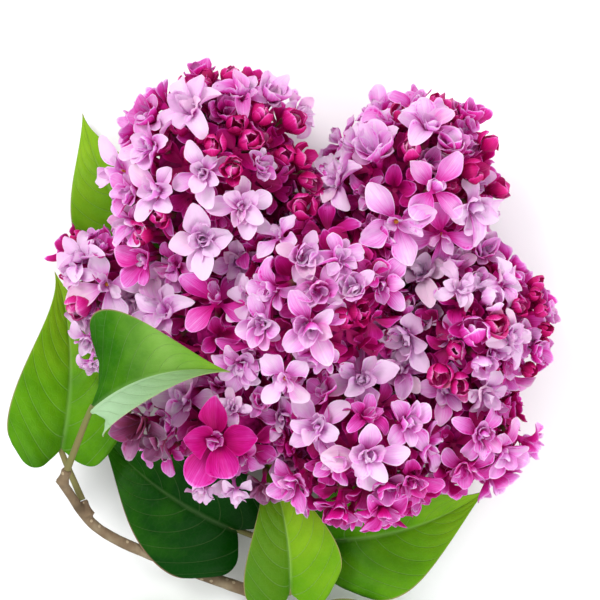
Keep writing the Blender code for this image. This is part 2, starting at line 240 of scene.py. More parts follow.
def meshFrom(name, piece):
    points = (np.concatenate(piece["points"]) + bunchShift) * mm
    mesh = bpy.data.meshes.new(name)
    mesh.from_pydata(points.tolist(), [], piece["faces"])
    return mesh


sharpFrom = 60  # degrees between two faces


def finishPiece(name, piece, materials, nodes):
    mesh = meshFrom(name, piece)
    for made in materials:
        mesh.materials.append(made)
    mesh.polygons.foreach_set("material_index", np.concatenate(piece["slots"]).astype(np.int32))
    setVectors(mesh, "growthPlace", np.concatenate(piece["place"]))
    setVectors(mesh, "growthTone", np.concatenate(piece["tone"]))
    mesh.shade_smooth()
    mesh.set_sharp_from_angle(angle=math.radians(sharpFrom))
    made = addObject(name, mesh)
    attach(made, "root")
    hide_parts(*nodes)
    mesh.calc_loop_triangles()
    print(f"{name}: {len(mesh.loop_triangles)} triangles")


# An upper and a lower skin over a grid of points. They share its rim, so what they make is
# closed: the grid's own points come first, and the lower skin's inner points after them.
def skins(shape):
    inside = np.zeros(shape, bool)
    inside[1:-1, 1:-1] = True
    upper = np.arange(inside.size).reshape(shape)
    lower = upper.copy()
    lower[inside] = inside.size + np.arange(inside.sum())
    faces = []
    for skin in (upper, lower):
        corners = (skin[:-1, :-1], skin[1:, :-1], skin[1:, 1:], skin[:-1, 1:])
        faces.append(np.stack(corners, -1).reshape(-1, 4))
    return inside, [faces[0], faces[1][:, ::-1]]


# Round lengths


# a smooth curve through the points
def smoothRoute(points, steps):
    points = [np.array(p, float) for p in points]
    ends = [2 * points[0] - points[1], *points, 2 * points[-1] - points[-2]]
    route = []
    for a, b, c, d in zip(ends, ends[1:], ends[2:], ends[3:]):
        for i in range(steps):
            t = i / steps
            route.append(0.5 * (2 * b + (c - a) * t + (2 * a - 5 * b + 4 * c - d) * t * t
                                + (3 * b - a - 3 * c + d) * t ** 3))
    return np.array([*route, points[-1]])


# a closed round length; tone is one row for each ring
def addTube(piece, route, radii, sides, tone):
    route, radii = np.asarray(route, float), np.asarray(radii, float)
    rings = len(route)
    around = np.arange(sides) * 2 * math.pi / sides
    across = None
    rows = []
    for i in range(rings):
        along = unit(route[min(i + 1, rings - 1)] - route[max(i - 1, 0)])
        across = crossAxes(along)[0] if across is None else across - along * across.dot(along)
        across = unit(across)
        other = np.cross(along, across)
        rows.append(route[i] + radii[i]
                    * (np.outer(np.cos(around), across) + np.outer(np.sin(around), other)))
    points = np.concatenate(rows + [route[:1], route[-1:]])
    grid = np.arange(rings * sides).reshape(rings, sides)
    nextOne = np.roll(grid, -1, axis=1)
    quads = np.stack([grid[:-1], nextOne[:-1], nextOne[1:], grid[1:]], -1).reshape(-1, 4)
    first = np.stack([nextOne[0], grid[0], np.full(sides, rings * sides)], -1)
    last = np.stack([grid[-1], nextOne[-1], np.full(sides, rings * sides + 1)], -1)
    tone = np.broadcast_to(tone, (rings, 3))
    tones = np.concatenate([np.repeat(tone, sides, axis=0), tone[:1], tone[-1:]])
    share = np.concatenate([np.repeat(np.linspace(0, 1, rings), sides), [0, 1]])
    place = np.stack([share, np.zeros_like(share), np.full_like(share, -1)], -1)
    addPatch(piece, points, [quads, first, last], place, tones)


# Petals

petalValues = dict(
    thickness=0.32,
    claw=0.36,  # how wide it is there, as a share of its width
    widest=0.62,  # how far along it is at full width
    pinchFrom=0.55,
    crease=0.5,
    creaseWidth=0.2,
    rollFrom=0.6,  # how far out the edges begin to roll
    pressed=3.0,  # what is lower than this is pressed on the table
)


# a square grid drawn out to a round one: along from claw to tip, across from edge to edge
def petalGrid(rows, columns):
    a, b = np.meshgrid(np.linspace(-1, 1, rows + 1), np.linspace(-1, 1, columns + 1), indexing="ij")
    x, y = a * np.sqrt(1 - b * b / 2), b * np.sqrt(1 - a * a / 2)
    inside, faces = skins(a.shape)
    pick = np.concatenate([np.arange(a.size), np.flatnonzero(inside)])
    depth = np.sqrt(1 - np.maximum(a * a, b * b)).ravel()[pick]
    side = np.concatenate([np.where(inside, 1.0, 0.0).ravel(), -np.ones(inside.sum())])
    return dict(along=(1 + x.ravel()[pick]) / 2, across=y.ravel()[pick], depth=depth, side=side,
                faces=faces)


grids = dict(large=petalGrid(8, 6), middle=petalGrid(7, 5), small=petalGrid(5, 4))
petalSteps = np.linspace(0, 1, 17)


# what would lie in the table is pressed flat on it
def settle(points):
    z, pressed = points[:, 2], petalValues["pressed"]
    points[:, 2] = np.where(z < pressed, pressed * np.exp(np.minimum(z - pressed, 0) / pressed), z)
    return points


# how far a petal reaches out and climbs, by the angle at each of its steps
def sumSteps(share, length):
    return np.concatenate([[0], np.cumsum(share[1:] + share[:-1]) / (2 * len(share) - 2)]) * length


# form: length, width, start (distance from the axis), and in degrees rise at the claw,
# bend along the petal, hood at its tip and twist; cup, fold, pinch, crumple, ripple and roll
def addPetal(piece, grid, throat, axes, azimuth, form, tone):
    side, other, way = axes
    t, y = grid["along"], grid["across"]
    angle = np.radians(form["rise"] + form["bend"] * petalSteps + form["hood"] * petalSteps ** 4)
    reach = sumSteps(np.cos(angle), form["length"])
    climb = sumSteps(np.sin(angle), form["length"])
    claw, phase = petalValues["claw"], form["phase"]
    pinchFrom, rollFrom = petalValues["pinchFrom"], petalValues["rollFrom"]
    half = form["width"] / 2 * (claw + (1 - claw) * smooth(t / petalValues["widest"]))
    half = half * (1 - form["pinch"] * smooth((t - pinchFrom) / (1 - pinchFrom)))
    lateral = half * y * (1 - 0.18 * form["cup"] * y * y)
    up = form["cup"] * half * y * y * (0.5 + 0.5 * t) + form["fold"] * half * abs(y)
    crumple = form["crumple"] * np.sin(5 * t + 3 * y + phase)
    up = up + crumple * np.sin(4 * y + phase) * t
    up = up + form["ripple"] * abs(y) ** 3 * np.sin(8 * t + phase + 2 * y)
    up = up + form["roll"] * smooth((abs(y) - rollFrom) / (1 - rollFrom)) * (1 - 0.4 * t)
    crease = petalValues["crease"] * np.exp(-(y / petalValues["creaseWidth"]) ** 2)
    up = up - crease * smooth(t * 3) * (1 - t) * 1.2
    up = up + petalValues["thickness"] / 2 * grid["depth"] * grid["side"]
    twist = np.radians(form["twist"]) * t
    lateral, up = (lateral * np.cos(twist) - up * np.sin(twist),
                   lateral * np.sin(twist) + up * np.cos(twist))
    tilt = np.interp(t, petalSteps, angle)
    radial = form["start"] + np.interp(t, petalSteps, reach) - up * np.sin(tilt)
    height = np.interp(t, petalSteps, climb) + up * np.cos(tilt)
    ray = side * math.cos(azimuth) + other * math.sin(azimuth)
    tangent = np.cross(way, ray)
    points = throat + np.outer(radial, ray) + np.outer(lateral, tangent) + np.outer(height, way)
    place = np.stack([t, y, grid["side"] * grid["depth"]], -1)
    addPatch(piece, settle(points), grid["faces"], place, tone)


# Florets. A whorl gives how many petals, their grid, and the spread of each of their numbers.

whorlKinds = {
    "outer": dict(count=4, grid="large", length=12.6, width=8.6, start=1.3, rise=52, bend=-62,
                  hood=58, cup=0.5, ripple=0.6, twist=20, tone=-0.02),
    "flatOuter": dict(count=4, grid="large", length=12.8, width=8.8, start=1.3, rise=28, bend=-38,
                      hood=50, cup=0.45, ripple=0.6, twist=18, tone=0.0),
    "curledOuter": dict(count=4, grid="large", length=12.8, width=8.0, start=1.3, rise=68,
                        bend=-136, hood=34, cup=0.6, ripple=0.8, twist=30, tone=-0.02),
    "cupOuter": dict(count=4, grid="large", length=11.6, width=9.2, start=1.5, rise=74, bend=-34,
                     hood=52, cup=0.6, ripple=0.5, twist=16, tone=-0.1),
    "second": dict(count=4, grid="middle", length=10.8, width=7.2, start=1.0, rise=66, bend=-52,
                   hood=64, cup=0.6, ripple=0.6, twist=34, tone=0.06),
    "third": dict(count=3, grid="small", length=8.4, width=5.2, start=0.7, rise=78, bend=-30,
                  hood=70, cup=0.7, ripple=0.5, twist=60, tone=0.14),
    "heart": dict(count=3, grid="small", length=5.4, width=3.8, start=0.4, rise=84, bend=-6,
                  hood=60, cup=0.8, ripple=0.2, twist=60, tone=0.06),
    "budOuter": dict(count=4, grid="middle", length=10.2, width=8.0, start=0.9, rise=34, bend=86,
                     hood=42, cup=0.6, ripple=0.3, twist=12, tone=-0.06),
    "budInner": dict(count=3, grid="small", length=8.8, width=6.2, start=0.5, rise=52, bend=66,
                     hood=30, cup=0.7, ripple=0.3, twist=22, tone=0.16),
    "knob": dict(count=4, grid="small", length=9.8, width=8.2, start=0.8, rise=30, bend=100,
                 hood=44, cup=0.75, ripple=0.0, twist=8, tone=0.0, wild=0.25),
    "broad": dict(count=5, grid="large", length=13.2, width=11.0, start=1.3, rise=44, bend=-36,
                  hood=62, cup=0.5, ripple=0.5, twist=12, tone=0.0),
    "inner": dict(count=4, grid="small", length=11.5, width=8.6, start=1.2, rise=40, bend=-36,
                  hood=34, cup=0.45, ripple=0.4, twist=16, tone=0.0),
    "paleKnob": dict(count=4, grid="small", length=5.0, width=4.4, start=0.5, rise=52, bend=36,
                     hood=60, cup=0.7, ripple=0.3, twist=40, tone=0.5),
}
floretKinds = {
    "open": ("outer", "second", "third", "heart"),
    "flat": ("flatOuter", "third"),
    "double": ("flatOuter", "second", "third", "heart"),
    "curled": ("curledOuter", "second", "third"),
    "cup": ("cupOuter", "second", "third"),
    "bud": ("budOuter", "budInner"),
    "closed": ("knob",),
    "broad": ("broad", "paleKnob"),
    "faded": ("cupOuter", "second"),
    "inner": ("inner",),
}
tubeValues = dict(length=8.5, radius=0.95, mouth=1.9, closedMouth=1.2, calyx=1.5, stalk=0.5,
                  sides=7, lowest=1.5, deeper=0.28)
redBelow = 0.42  # buds of a deeper tone than this are still crimson


# a floret's whorls of petals, its throat and tube, its calyx and its own thin stalk
def addFloret(piece, throat, way, root, kind, tone, size, rng, turn=None):
    axes = (*crossAxes(way), way)
    turn = rng.uniform(0, math.pi / 2) if turn is None else turn
    for level, name in enumerate(floretKinds[kind]):
        whorl = whorlKinds[name]
        wild = whorl.get("wild", 1.25 + 0.4 * level)  # less orderly towards the middle
        first = turn + level * math.pi / whorl["count"] + rng.uniform(-0.12, 0.12)
        for k in range(whorl["count"]):
            form = dict(
                length=whorl["length"] * size * rng.uniform(0.8, 1.13),
                width=whorl["width"] * size * rng.uniform(0.82, 1.1),
                start=whorl["start"] * size,
                rise=whorl["rise"] + wild * rng.uniform(-15, 12),
                bend=whorl["bend"] + wild * rng.uniform(-24, 22),
                hood=whorl["hood"] + wild * rng.uniform(-26, 26),
                cup=whorl["cup"] * rng.uniform(0.5, 1.35),
                fold=max(0, rng.uniform(-0.3, 0.5)),
                pinch=rng.uniform(0, 0.34),
                ripple=whorl["ripple"] * rng.uniform(0.4, 2.4),
                crumple=0.85 * size * rng.uniform(0.2, 1),
                roll=size * rng.uniform(-0.7, 1.6),
                phase=rng.uniform(0, 6),
                twist=whorl["twist"] * rng.uniform(-1, 1),
            )
            azimuth = first + k * 2 * math.pi / whorl["count"] + wild * rng.uniform(-0.15, 0.15)
            unopened = kind in ("bud", "closed") and tone < redBelow
            hue = rng.uniform(0.82, 1) if unopened else rng.uniform(0, 0.68)
            own = (tone + whorl["tone"] + rng.uniform(-0.08, 0.08), hue,
                   0.5 if kind == "faded" else 0)
            addPetal(piece, grids[whorl["grid"]], throat, axes, azimuth, form, own)
    mouth = tubeValues["closedMouth" if kind == "closed" else "mouth"]
    addNeck(piece, throat, way, root, size, tone, mouth)
    if kind == "flat":
        rise = [throat - way * 1.5, throat + way * 0.6, throat + way * 1.5, throat + way * 2.0]
        addTube(piece, rise, np.array((0.3, 0.75, 0.7, 0.2)) * size, 6, (0, 0.5, 2))


# the tube under a floret, with a green calyx at its foot, on a stalk from root
def addNeck(piece, throat, way, root, size, tone, mouth):
    foot = throat - way * tubeValues["length"] * size
    foot[2] = max(foot[2], tubeValues["lowest"])
    route = [root, root * 0.4 + foot * 0.6, foot - way * 1.2, foot, foot + way * 1.6,
             throat * 0.5 + foot * 0.5, throat - way * 1.0, throat + way * 0.5, throat - way * 0.8]
    thin, calyx, neck = tubeValues["stalk"], tubeValues["calyx"], tubeValues["radius"]
    radii = [thin, thin, thin, calyx, calyx * 0.95, neck, neck * 1.25, mouth, mouth * 0.4]
    green = (1, 1, 1, 1, 0.8, 0, 0, 0, 0)
    own = [(tone - tubeValues["deeper"], 0.5, g) for g in green]
    addTube(piece, settle(np.array(route)), np.array(radii) * size, tubeValues["sides"], own)


# Flower heads. Each face is an ovoid: its middle, the way it points, half length and radius, and
# from how far along it the buds begin. The stalk runs from the wood through bend. tone is how
# pale its florets are, and placed how much paler those placed from the photo.

heads = {
    "Front": dict(
        node="front", centre=(8, 2, 54), points=(0.35, -0.08, 0.93), halfLength=32, radius=32,
        budsFrom=0.84, budsRightOf=14, wood=(9.4, -32, 13), bend=(4, -20, 25), tone=0.72,
    ),
    "UpperLeft": dict(
        node="upper_left", centre=(-33, 46, 42), points=(0.26, 0.58, 0.77), halfLength=39,
        radius=33, budsFrom=0.72, wood=(-21.5, -16, 12.2), bend=(-27, 8, 10), tone=0.74,
    ),
    "UpperRight": dict(
        node="upper_right", centre=(41, 43, 38), points=(0.42, 0.45, 0.79), halfLength=35,
        radius=29, budsFrom=0.78, opening=0.4,
        wood=(10, -29, 13), bend=(24, 6, 10), tone=0.8, placed=0.04,
    ),
    "Right": dict(
        node="right", centre=(62, -8, 36), points=(0.6, 0.0, 0.8), halfLength=33, radius=27,
        budsFrom=0.74, opening=0.4, wood=(8.6, -35, 13), bend=(30, -26, 10), tone=0.9,
        placed=0.12,
    ),
    "Low": dict(
        node="low", centre=(22, -51, 38), points=(0.1, -0.4, 0.91), halfLength=31, radius=29,
        budsFrom=2, wood=(-1.5, -59, 12.2), bend=(12, -57, 18), tone=0.42, placed=-0.06,
    ),
    "LowerRight": dict(
        node="lower_right", centre=(62, -48, 28), points=(0.5, -0.35, 0.79), halfLength=25,
        radius=22, budsFrom=2, wood=(4.8, -47.5, 12.4), bend=(30, -46, 9), tone=0.55,
    ),
    "Left": dict(
        node="left", centre=(-74, 8, 21), points=(-0.5, 0.35, 0.79), halfLength=19, radius=14,
        budsFrom=0.66, budSize=0.85, wood=(-46, -9, 8.6), bend=(-57, 0, 11), tone=0.62,
    ),
    "LowerLeft": dict(
        node="lower_left", centre=(-27, -45, 30), points=(-0.3, -0.3, 0.9), halfLength=24,
        radius=22, budsFrom=2, wood=(-13, -50, 12.4), bend=(-23, -49, 16), tone=0.44,
    ),
    "MiddleLeft": dict(
        node="middle_left", centre=(-28, -8, 33), points=(-0.12, 0.2, 0.97), halfLength=27,
        radius=25, budsFrom=2, wood=(-19.4, -27, 12.8), bend=(-25, -18, 22), tone=0.56,
    ),
}
headValues = dict(
    spacing=11.5,  # between throats on top, and wider underneath
    wider=3.2,
    tries=8,  # places looked at for each floret
    hidden=0.78,  # a floret this deep in another head is left out
    opening=0.15,  # share of the buds that are open, and up to where the rest are half open
    halfOpen=0.68,
    budTries=400,
    budMargin=0.02,  # how far the buds begin before their place, and twice that keeps florets off
    budSpacing=6.8,
    budRoom=7.5,  # between a bud and a floret placed from the photo
    lift=1.5,  # how far those florets stand out
    swell=(0, 6, 12),  # how much larger a face is taken for those just past it
    outward=0.45,  # how much they turn to the way out of the head, and towards the camera
    upward=0.75,
    leafRoom=7.5,
    besideLeaf=12,  # no floret stands so near beside a leaf's point and so little under it
    underLeaf=14,
    rootDepth=0.3,
    core=0.68,
    coreSize=(14, 20),  # rings and sides
    lumps=0.09,
    innerSpacing=11.5,
    innerDepth=0.76,
    innerHidden=0.62,
    petalReach=13.0,  # of a placed floret, and how deep florets and buds are tucked under them
    underPetals=3.2,
    budsUnder=6.5,
    softEdge=4,  # the tuck fades out over this
    crowded=1.25,  # florets nearer than this to another head are darker: painted shade between the heads
    crowdedShade=0.34,
    budsDeeper=0.24,  # also those near the buds, and, as painted shade, those that face aside
    asideShade=0.2,
    # painted shade: how much darker petals deep inside a head are made, from what depth and over
    # what depth
    deeper=0.42,
    deepFrom=1.14,
    deepOver=0.35,
    stalk=1.6,
    stubLength=6.5,
    seatGap=0.3,
    tilt=0.42,
    lowest=6.0,
)


def headFrame(head):
    axis = unit(np.array(head["points"], float))
    side, other = crossAxes(axis)
    return np.array(head["centre"], float), axis, side, other


# how deep points lie in a head: 0 at its middle, 1 on its face
def depthIn(head, points):
    centre, axis, _, _ = headFrame(head)
    off = points - centre
    along = off @ axis
    out = np.linalg.norm(off - along[..., None] * axis, axis=-1)
    return np.hypot(along / head["halfLength"], out / head["radius"])


# petals that lie deep among the others are made darker: painted shade inside the heads
def shadeDeepPetals(piece):
    points = np.concatenate(piece["points"])
    nearest = np.min([depthIn(head, points) for head in heads.values()], axis=0)
    tone = np.concatenate(piece["tone"])
    sunk = (headValues["deepFrom"] - nearest) / headValues["deepOver"]
    tone[:, 0] -= headValues["deeper"] * smooth(sunk)
    piece["points"], piece["tone"] = [points], [tone]


# the way out of a head at a point on its face
def wayOut(head, point):
    centre, axis, _, _ = headFrame(head)
    off = point - centre
    along = off.dot(axis)
    return unit(axis * along / head["halfLength"] ** 2 + (off - axis * along) / head["radius"] ** 2)


# golden-angle places over a head's face, from its tip down to last
def faceSites(head, count, last=-1.0):
    centre, axis, side, other = headFrame(head)
    for i in range(count):
        along = 1 - (1 - last) * (i + 0.5) / count
        out = math.sqrt(1 - along * along)
        ray = side * math.cos(i * goldenAngle) + other * math.sin(i * goldenAngle)
        yield along, centre + axis * along * head["halfLength"] + ray * out * head["radius"]


# stretched so that a head, larger by swell, becomes a ball of radius 1
def asBall(head, axis, swell, v):
    along = v.dot(axis)
    return np.append(along / (head["halfLength"] + swell),
                     (v - axis * along) / (head["radius"] + swell))


# the nearest face that the camera sees at a pixel of the photo: the head and the point
def faceAtPixel(x, y):
    eye = np.array((0, 0, view["place"][2]))
    scale = view["sensor"] / view["lens"] / view["pixels"]
    middle = view["pixels"] / 2
    ray = unit(np.array(((x - middle) * scale, (middle - y) * scale, -1)))
    for swell in headValues["swell"]:
        seen = []
        for name, head in heads.items():
            centre, axis, _, _ = headFrame(head)
            start, way = asBall(head, axis, swell, eye - centre), asBall(head, axis, swell, ray)
            a, b, c = way.dot(way), start.dot(way), start.dot(start) - 1
            root = b * b - a * c
            if root >= 0:
                seen.append(((-b - math.sqrt(root)) / a, name))
        if seen:
            reach, name = min(seen)
            return name, eye + ray * reach


# Florets that stand out in the photo: where, kind, tone, size, turn in degrees, and how the
# floret leans to the right and up from facing the camera.
tones = dict(white=1.02, pale=0.86, pink=0.68, rose=0.52, deep=0.36, crimson=0.18, magenta=0.02)
facingFlorets = (
    # around the middle
    (204, 238, "open", "white", 1.2, 100, -0.1, 0.25),
    (240, 205, "double", "pale", 1.05, 10, 0.1, 0.3),
    (254, 287, "double", "white", 1.0, 40, -0.1, 0.5),
    (275, 217, "open", "pale", 0.9, 30, 0.0, 0.2),
    (218, 304, "flat", "deep", 1.25, 45, 0.0, 0.45),
    (267, 322, "open", "pink", 1.0, 15, -0.1, -0.1),
    (311, 322, "double", "pink", 1.15, 30, 0.1, -0.2),
    (302, 262, "cup", "pale", 1.0, 10, 0.3, 0.2),
    (282, 240, "flat", "pale", 0.85, 50, -0.2, 0.3),
    (236, 257, "open", "pale", 0.9, 0, -0.1, 0.1),
    (336, 262, "curled", "pink", 0.9, 10, 0.3, 0.3),
    (287, 374, "flat", "pale", 1.05, 40, 0.0, 0.0),
    (250, 345, "flat", "rose", 0.9, 0, -0.2, -0.2),
    (240, 362, "open", "pink", 0.9, 60, -0.2, -0.2),
    # right of the middle
    (318, 290, "cup", "pink", 1.0, 20, 0.1, 0.0),
    (352, 290, "cup", "pale", 0.95, 0, -0.2, 0.3),
    (382, 284, "double", "pink", 1.0, 40, 0.1, 0.1),
    (368, 318, "bud", "pink", 1.15, 20, 0.0, 0.2),
    (388, 330, "bud", "rose", 1.05, 50, 0.2, 0.1),
    (352, 330, "cup", "deep", 0.8, 0, -0.2, 0.0),
    (425, 277, "double", "white", 1.1, 15, 0.0, 0.2),
    (438, 313, "cup", "white", 0.95, 0, 0.2, 0.1),
    (410, 336, "open", "pale", 1.3, 35, -0.1, -0.1),
    (451, 268, "cup", "pink", 0.9, 0, 0.3, 0.3),
    (459, 292, "curled", "pale", 0.85, 20, 0.4, 0.2),
    (487, 301, "bud", "pale", 1.15, 10, 0.4, 0.2),
    (503, 284, "curled", "pale", 0.85, 10, 0.6, 0.4),
    (471, 334, "bud", "deep", 1.4, 20, 0.2, 0.2),
    (457, 340, "flat", "pale", 0.7, 10, -0.2, -0.1),
    (478, 358, "bud", "pink", 1.1, 0, 0.3, -0.2),
    (494, 352, "cup", "pink", 0.75, 0, 0.5, 0.0),
    (441, 366, "bud", "crimson", 1.2, 0, 0.1, 0.0),
    (456, 352, "bud", "crimson", 1.1, 40, 0.1, 0.1),
    (490, 326, "bud", "crimson", 1.1, 20, 0.4, 0.2),
    (459, 376, "bud", "crimson", 1.0, 0, 0.1, -0.2),
    (507, 334, "curled", "pale", 0.95, 10, 0.7, 0.1),
    (361, 383, "double", "white", 1.1, 15, -0.1, -0.1),
    (396, 376, "curled", "pale", 1.0, 0, 0.1, 0.0),
    (446, 392, "open", "pink", 1.0, 0, 0.2, -0.3),
    (482, 386, "curled", "pale", 0.95, 0, 0.4, -0.3),
    # low
    (367, 454, "double", "pale", 1.2, 10, 0.0, -0.2),
    (321, 428, "double", "pale", 1.05, 30, -0.1, 0.0),
    (402, 424, "open", "pink", 1.05, 45, 0.2, 0.0),
    (405, 474, "open", "deep", 1.0, 20, 0.3, -0.5),
    (384, 482, "cup", "rose", 0.9, 0, 0.1, -0.5),
    (340, 498, "cup", "deep", 1.0, 20, -0.1, -0.7),
    (380, 500, "curled", "deep", 1.0, 50, 0.1, -0.7),
    (300, 475, "open", "rose", 0.95, 20, -0.4, -0.4),
    (274, 450, "flat", "pink", 0.9, 10, -0.2, -0.2),
    (277, 416, "curled", "pink", 0.85, 0, -0.1, -0.2),
    (258, 404, "cup", "rose", 0.7, 0, -0.2, 0.1),
    (262, 480, "faded", "rose", 0.8, 0, -0.3, -0.5),
    (288, 486, "faded", "pink", 0.75, 30, -0.1, -0.6),
    (218, 438, "broad", "magenta", 1.3, 20, -0.1, -0.1),
    (191, 402, "double", "pink", 1.05, 0, -0.3, 0.2),
    (232, 410, "curled", "pale", 0.65, 0, 0.1, 0.2),
    (149, 421, "faded", "deep", 1.35, 30, -0.25, -0.1),
    (160, 402, "curled", "pink", 0.9, 0, -0.3, 0.1),
    (172, 420, "cup", "rose", 0.85, 20, -0.3, -0.2),
    (160, 438, "faded", "rose", 0.9, 60, -0.4, -0.4),
    (152, 410, "flat", "deep", 0.8, 50, -0.1, 0.0),
    (152, 428, "flat", "rose", 0.8, 0, -0.1, -0.1),
    (148, 442, "flat", "rose", 0.75, 10, -0.4, -0.3),
    (172, 450, "flat", "deep", 0.8, 0, -0.3, -0.4),
    (206, 482, "curled", "white", 0.65, 0, -0.2, -0.7),
    (234, 484, "curled", "white", 0.7, 30, 0.1, -0.7),
    # upper left
    (195, 116, "curled", "white", 1.15, 30, -0.4, 0.3),
    (158, 150, "open", "pink", 1.0, 10, -0.5, 0.1),
    (158, 123, "cup", "rose", 0.9, 10, -0.4, 0.2),
    (283, 129, "bud", "crimson", 1.2, 20, 0.3, 0.2),
    (128, 172, "flat", "pale", 1.15, 20, -0.6, -0.1),
    (205, 172, "double", "pale", 0.95, 20, -0.2, 0.0),
    (162, 190, "open", "pale", 1.0, 50, -0.3, 0.0),
    (247, 88, "curled", "pink", 1.05, 0, 0.0, 0.6),
    (281, 86, "cup", "pale", 1.0, 40, 0.3, 0.5),
    (296, 112, "curled", "pale", 0.85, 0, 0.5, 0.2),
    (228, 106, "cup", "rose", 0.9, 0, 0.0, 0.4),
    (265, 168, "bud", "crimson", 1.0, 20, 0.1, -0.1),
    (296, 178, "bud", "crimson", 1.1, 0, 0.3, -0.2),
    (215, 148, "bud", "crimson", 1.0, 0, -0.1, 0.1),
    (232, 168, "bud", "crimson", 1.0, 0, 0.0, -0.1),
    (300, 150, "bud", "crimson", 1.0, 10, 0.5, 0.1),
    (272, 190, "curled", "pink", 0.95, 10, 0.1, 0.0),
    (140, 222, "curled", "pink", 1.05, 30, -0.5, 0.1),
    (262, 118, "bud", "crimson", 1.1, 40, 0.1, 0.3),
    (240, 122, "bud", "crimson", 1.0, 0, 0.0, 0.3),
    (248, 144, "bud", "crimson", 1.1, 30, 0.0, 0.1),
    (276, 148, "bud", "crimson", 1.0, 60, 0.2, 0.1),
    (310, 168, "bud", "rose", 1.0, 0, 0.4, 0.0),
    (178, 262, "open", "rose", 0.9, 0, -0.3, 0.0),
    # upper right
    (380, 160, "cup", "pink", 1.3, 0, -0.1, 0.6),
    (349, 186, "curled", "pale", 1.1, 30, -0.4, 0.4),
    (397, 219, "flat", "pink", 1.35, 25, 0.0, 0.0),
    (432, 188, "flat", "rose", 1.15, 50, 0.1, 0.2),
    (466, 206, "curled", "pale", 1.15, 15, 0.4, 0.0),
    (440, 230, "flat", "rose", 1.05, 10, 0.1, -0.3),
    (428, 134, "curled", "pink", 1.2, 45, 0.1, 0.7),
    (450, 150, "cup", "rose", 1.0, 0, 0.3, 0.6),
    (467, 176, "bud", "crimson", 1.1, 0, 0.3, 0.3),
    (484, 190, "bud", "crimson", 1.1, 30, 0.5, 0.1),
    (478, 152, "bud", "crimson", 1.05, 50, 0.4, 0.5),
    (410, 152, "bud", "deep", 1.0, 0, 0.0, 0.5),
    (336, 206, "bud", "crimson", 1.0, 20, -0.3, 0.2),
    (481, 258, "cup", "rose", 0.9, 30, 0.2, -0.1),
    (322, 222, "bud", "crimson", 1.1, 0, -0.2, 0.1),
    (343, 224, "cup", "deep", 0.85, 30, -0.2, 0.0),
    # far left
    (107, 283, "flat", "pale", 1.2, 20, -0.2, 0.0),
    (86, 262, "curled", "white", 0.95, 0, -0.4, 0.4),
    (103, 256, "cup", "deep", 0.8, 0, 0.0, 0.4),
    (70, 282, "curled", "pale", 0.8, 0, -0.8, 0.1),
    (87, 297, "bud", "deep", 1.3, 0, -0.4, -0.3),
    (146, 257, "broad", "deep", 0.95, 10, -0.3, 0.2),
    (150, 232, "bud", "crimson", 1.05, 0, -0.4, 0.1),
    (166, 214, "bud", "crimson", 0.95, 40, -0.2, 0.1),
    (130, 296, "curled", "white", 0.8, 40, 0.0, -0.2),
    (152, 292, "open", "pale", 0.75, 10, 0.1, -0.2),
    (170, 312, "curled", "pale", 1.15, 20, -0.1, 0.1),
    (176, 338, "cup", "deep", 0.8, 0, -0.2, -0.3),
)


# what would stand before the petals of a floret placed from the photo is tucked under them
def tuckUnder(point, facing, depth):
    for throat, way, reach in facing:
        off = point - throat
        high = off.dot(way)
        out = np.linalg.norm(off - way * high)
        if out < reach and high > -depth:
            inside = smooth((reach - out) / headValues["softEdge"])
            point = point - way * (high + depth) * inside
    return point


# the florets placed from the photo, the largest first
def plantFacing(planted):
    facing = []
    for x, y, kind, tone, size, turn, right, up in sorted(facingFlorets, key=lambda row: -row[4]):
        name, point = faceAtPixel(x, y)
        out = wayOut(heads[name], point)
        way = unit(headValues["outward"] * out + np.array((right, up, headValues["upward"])))
        point = tuckUnder(point + out * headValues["lift"], facing, headValues["underPetals"] / 2)
        own = tones[tone] + heads[name].get("placed", 0)
        planted[name].append((point, way, kind, own, size, math.radians(turn)))
        facing.append((point, way, headValues["petalReach"] * size))
    return facing


# near a leaf, or so close under it that petals would come through
def meetsLeaf(point, leafSpots):
    if np.min(np.linalg.norm(leafSpots - point, axis=1)) < headValues["leafRoom"]:
        return True
    beside = np.linalg.norm(leafSpots[:, :2] - point[:2], axis=1) < headValues["besideLeaf"]
    high = leafSpots[beside, 2]
    return np.any((high > point[2]) & (high < point[2] + headValues["underLeaf"]))


# the florets of one head by the rule: even over its face, clear of leaves and other heads
def plantByRule(name, planted, throats, facing, leafSpots):
    head = heads[name]
    rng = random.Random(f"{seed} {name}")
    area = 4 * math.pi * head["radius"] * (0.4 * head["radius"] + 0.6 * head["halfLength"])
    count = round(headValues["tries"] * area / headValues["spacing"] ** 2)
    for along, point in faceSites(head, count):
        lean = np.array([rng.uniform(-1, 1) for _ in range(3)])
        chance, size = rng.random(), rng.uniform(0.8, 1.05)
        pale = head["tone"] + rng.uniform(-0.2, 0.24)
        budsHere = point[0] > head.get("budsRightOf", -math.inf)
        if budsHere and along > head["budsFrom"] - 2 * headValues["budMargin"]:
            continue
        way = wayOut(head, point)
        spacing = headValues["spacing"] + headValues["wider"] * (1 - way[2])
        if np.min(np.linalg.norm(np.array(throats) - point, axis=1)) < spacing:
            continue
        if any(depthIn(other, point) < headValues["hidden"] for other in heads.values()):
            continue
        if meetsLeaf(point, leafSpots):
            continue
        point = point + way * rng.uniform(-2.5, 1.5)
        point[2] = max(point[2], headValues["lowest"])
        point = tuckUnder(point, facing, headValues["underPetals"])
        byBuds = smooth((along - head["budsFrom"] + 0.5) / 0.5)
        # painted shade: florets that face aside or crowd against another head are made deeper
        pale -= headValues["budsDeeper"] * byBuds + headValues["asideShade"] * (1 - way[2]) ** 2
        nearest = min(depthIn(other, point) for key, other in heads.items() if key != name)
        pale -= headValues["crowdedShade"] * smooth((headValues["crowded"] - nearest) / 0.4)
        kinds = ("cup", "open", "curled") if byBuds > 0.5 else ("open", "double", "flat", "curled")
        kind = kinds[int(chance * len(kinds))]
        way = unit(way + headValues["tilt"] * lean)
        planted[name].append((point, way, kind, pale, size, None))
        throats.append(point)
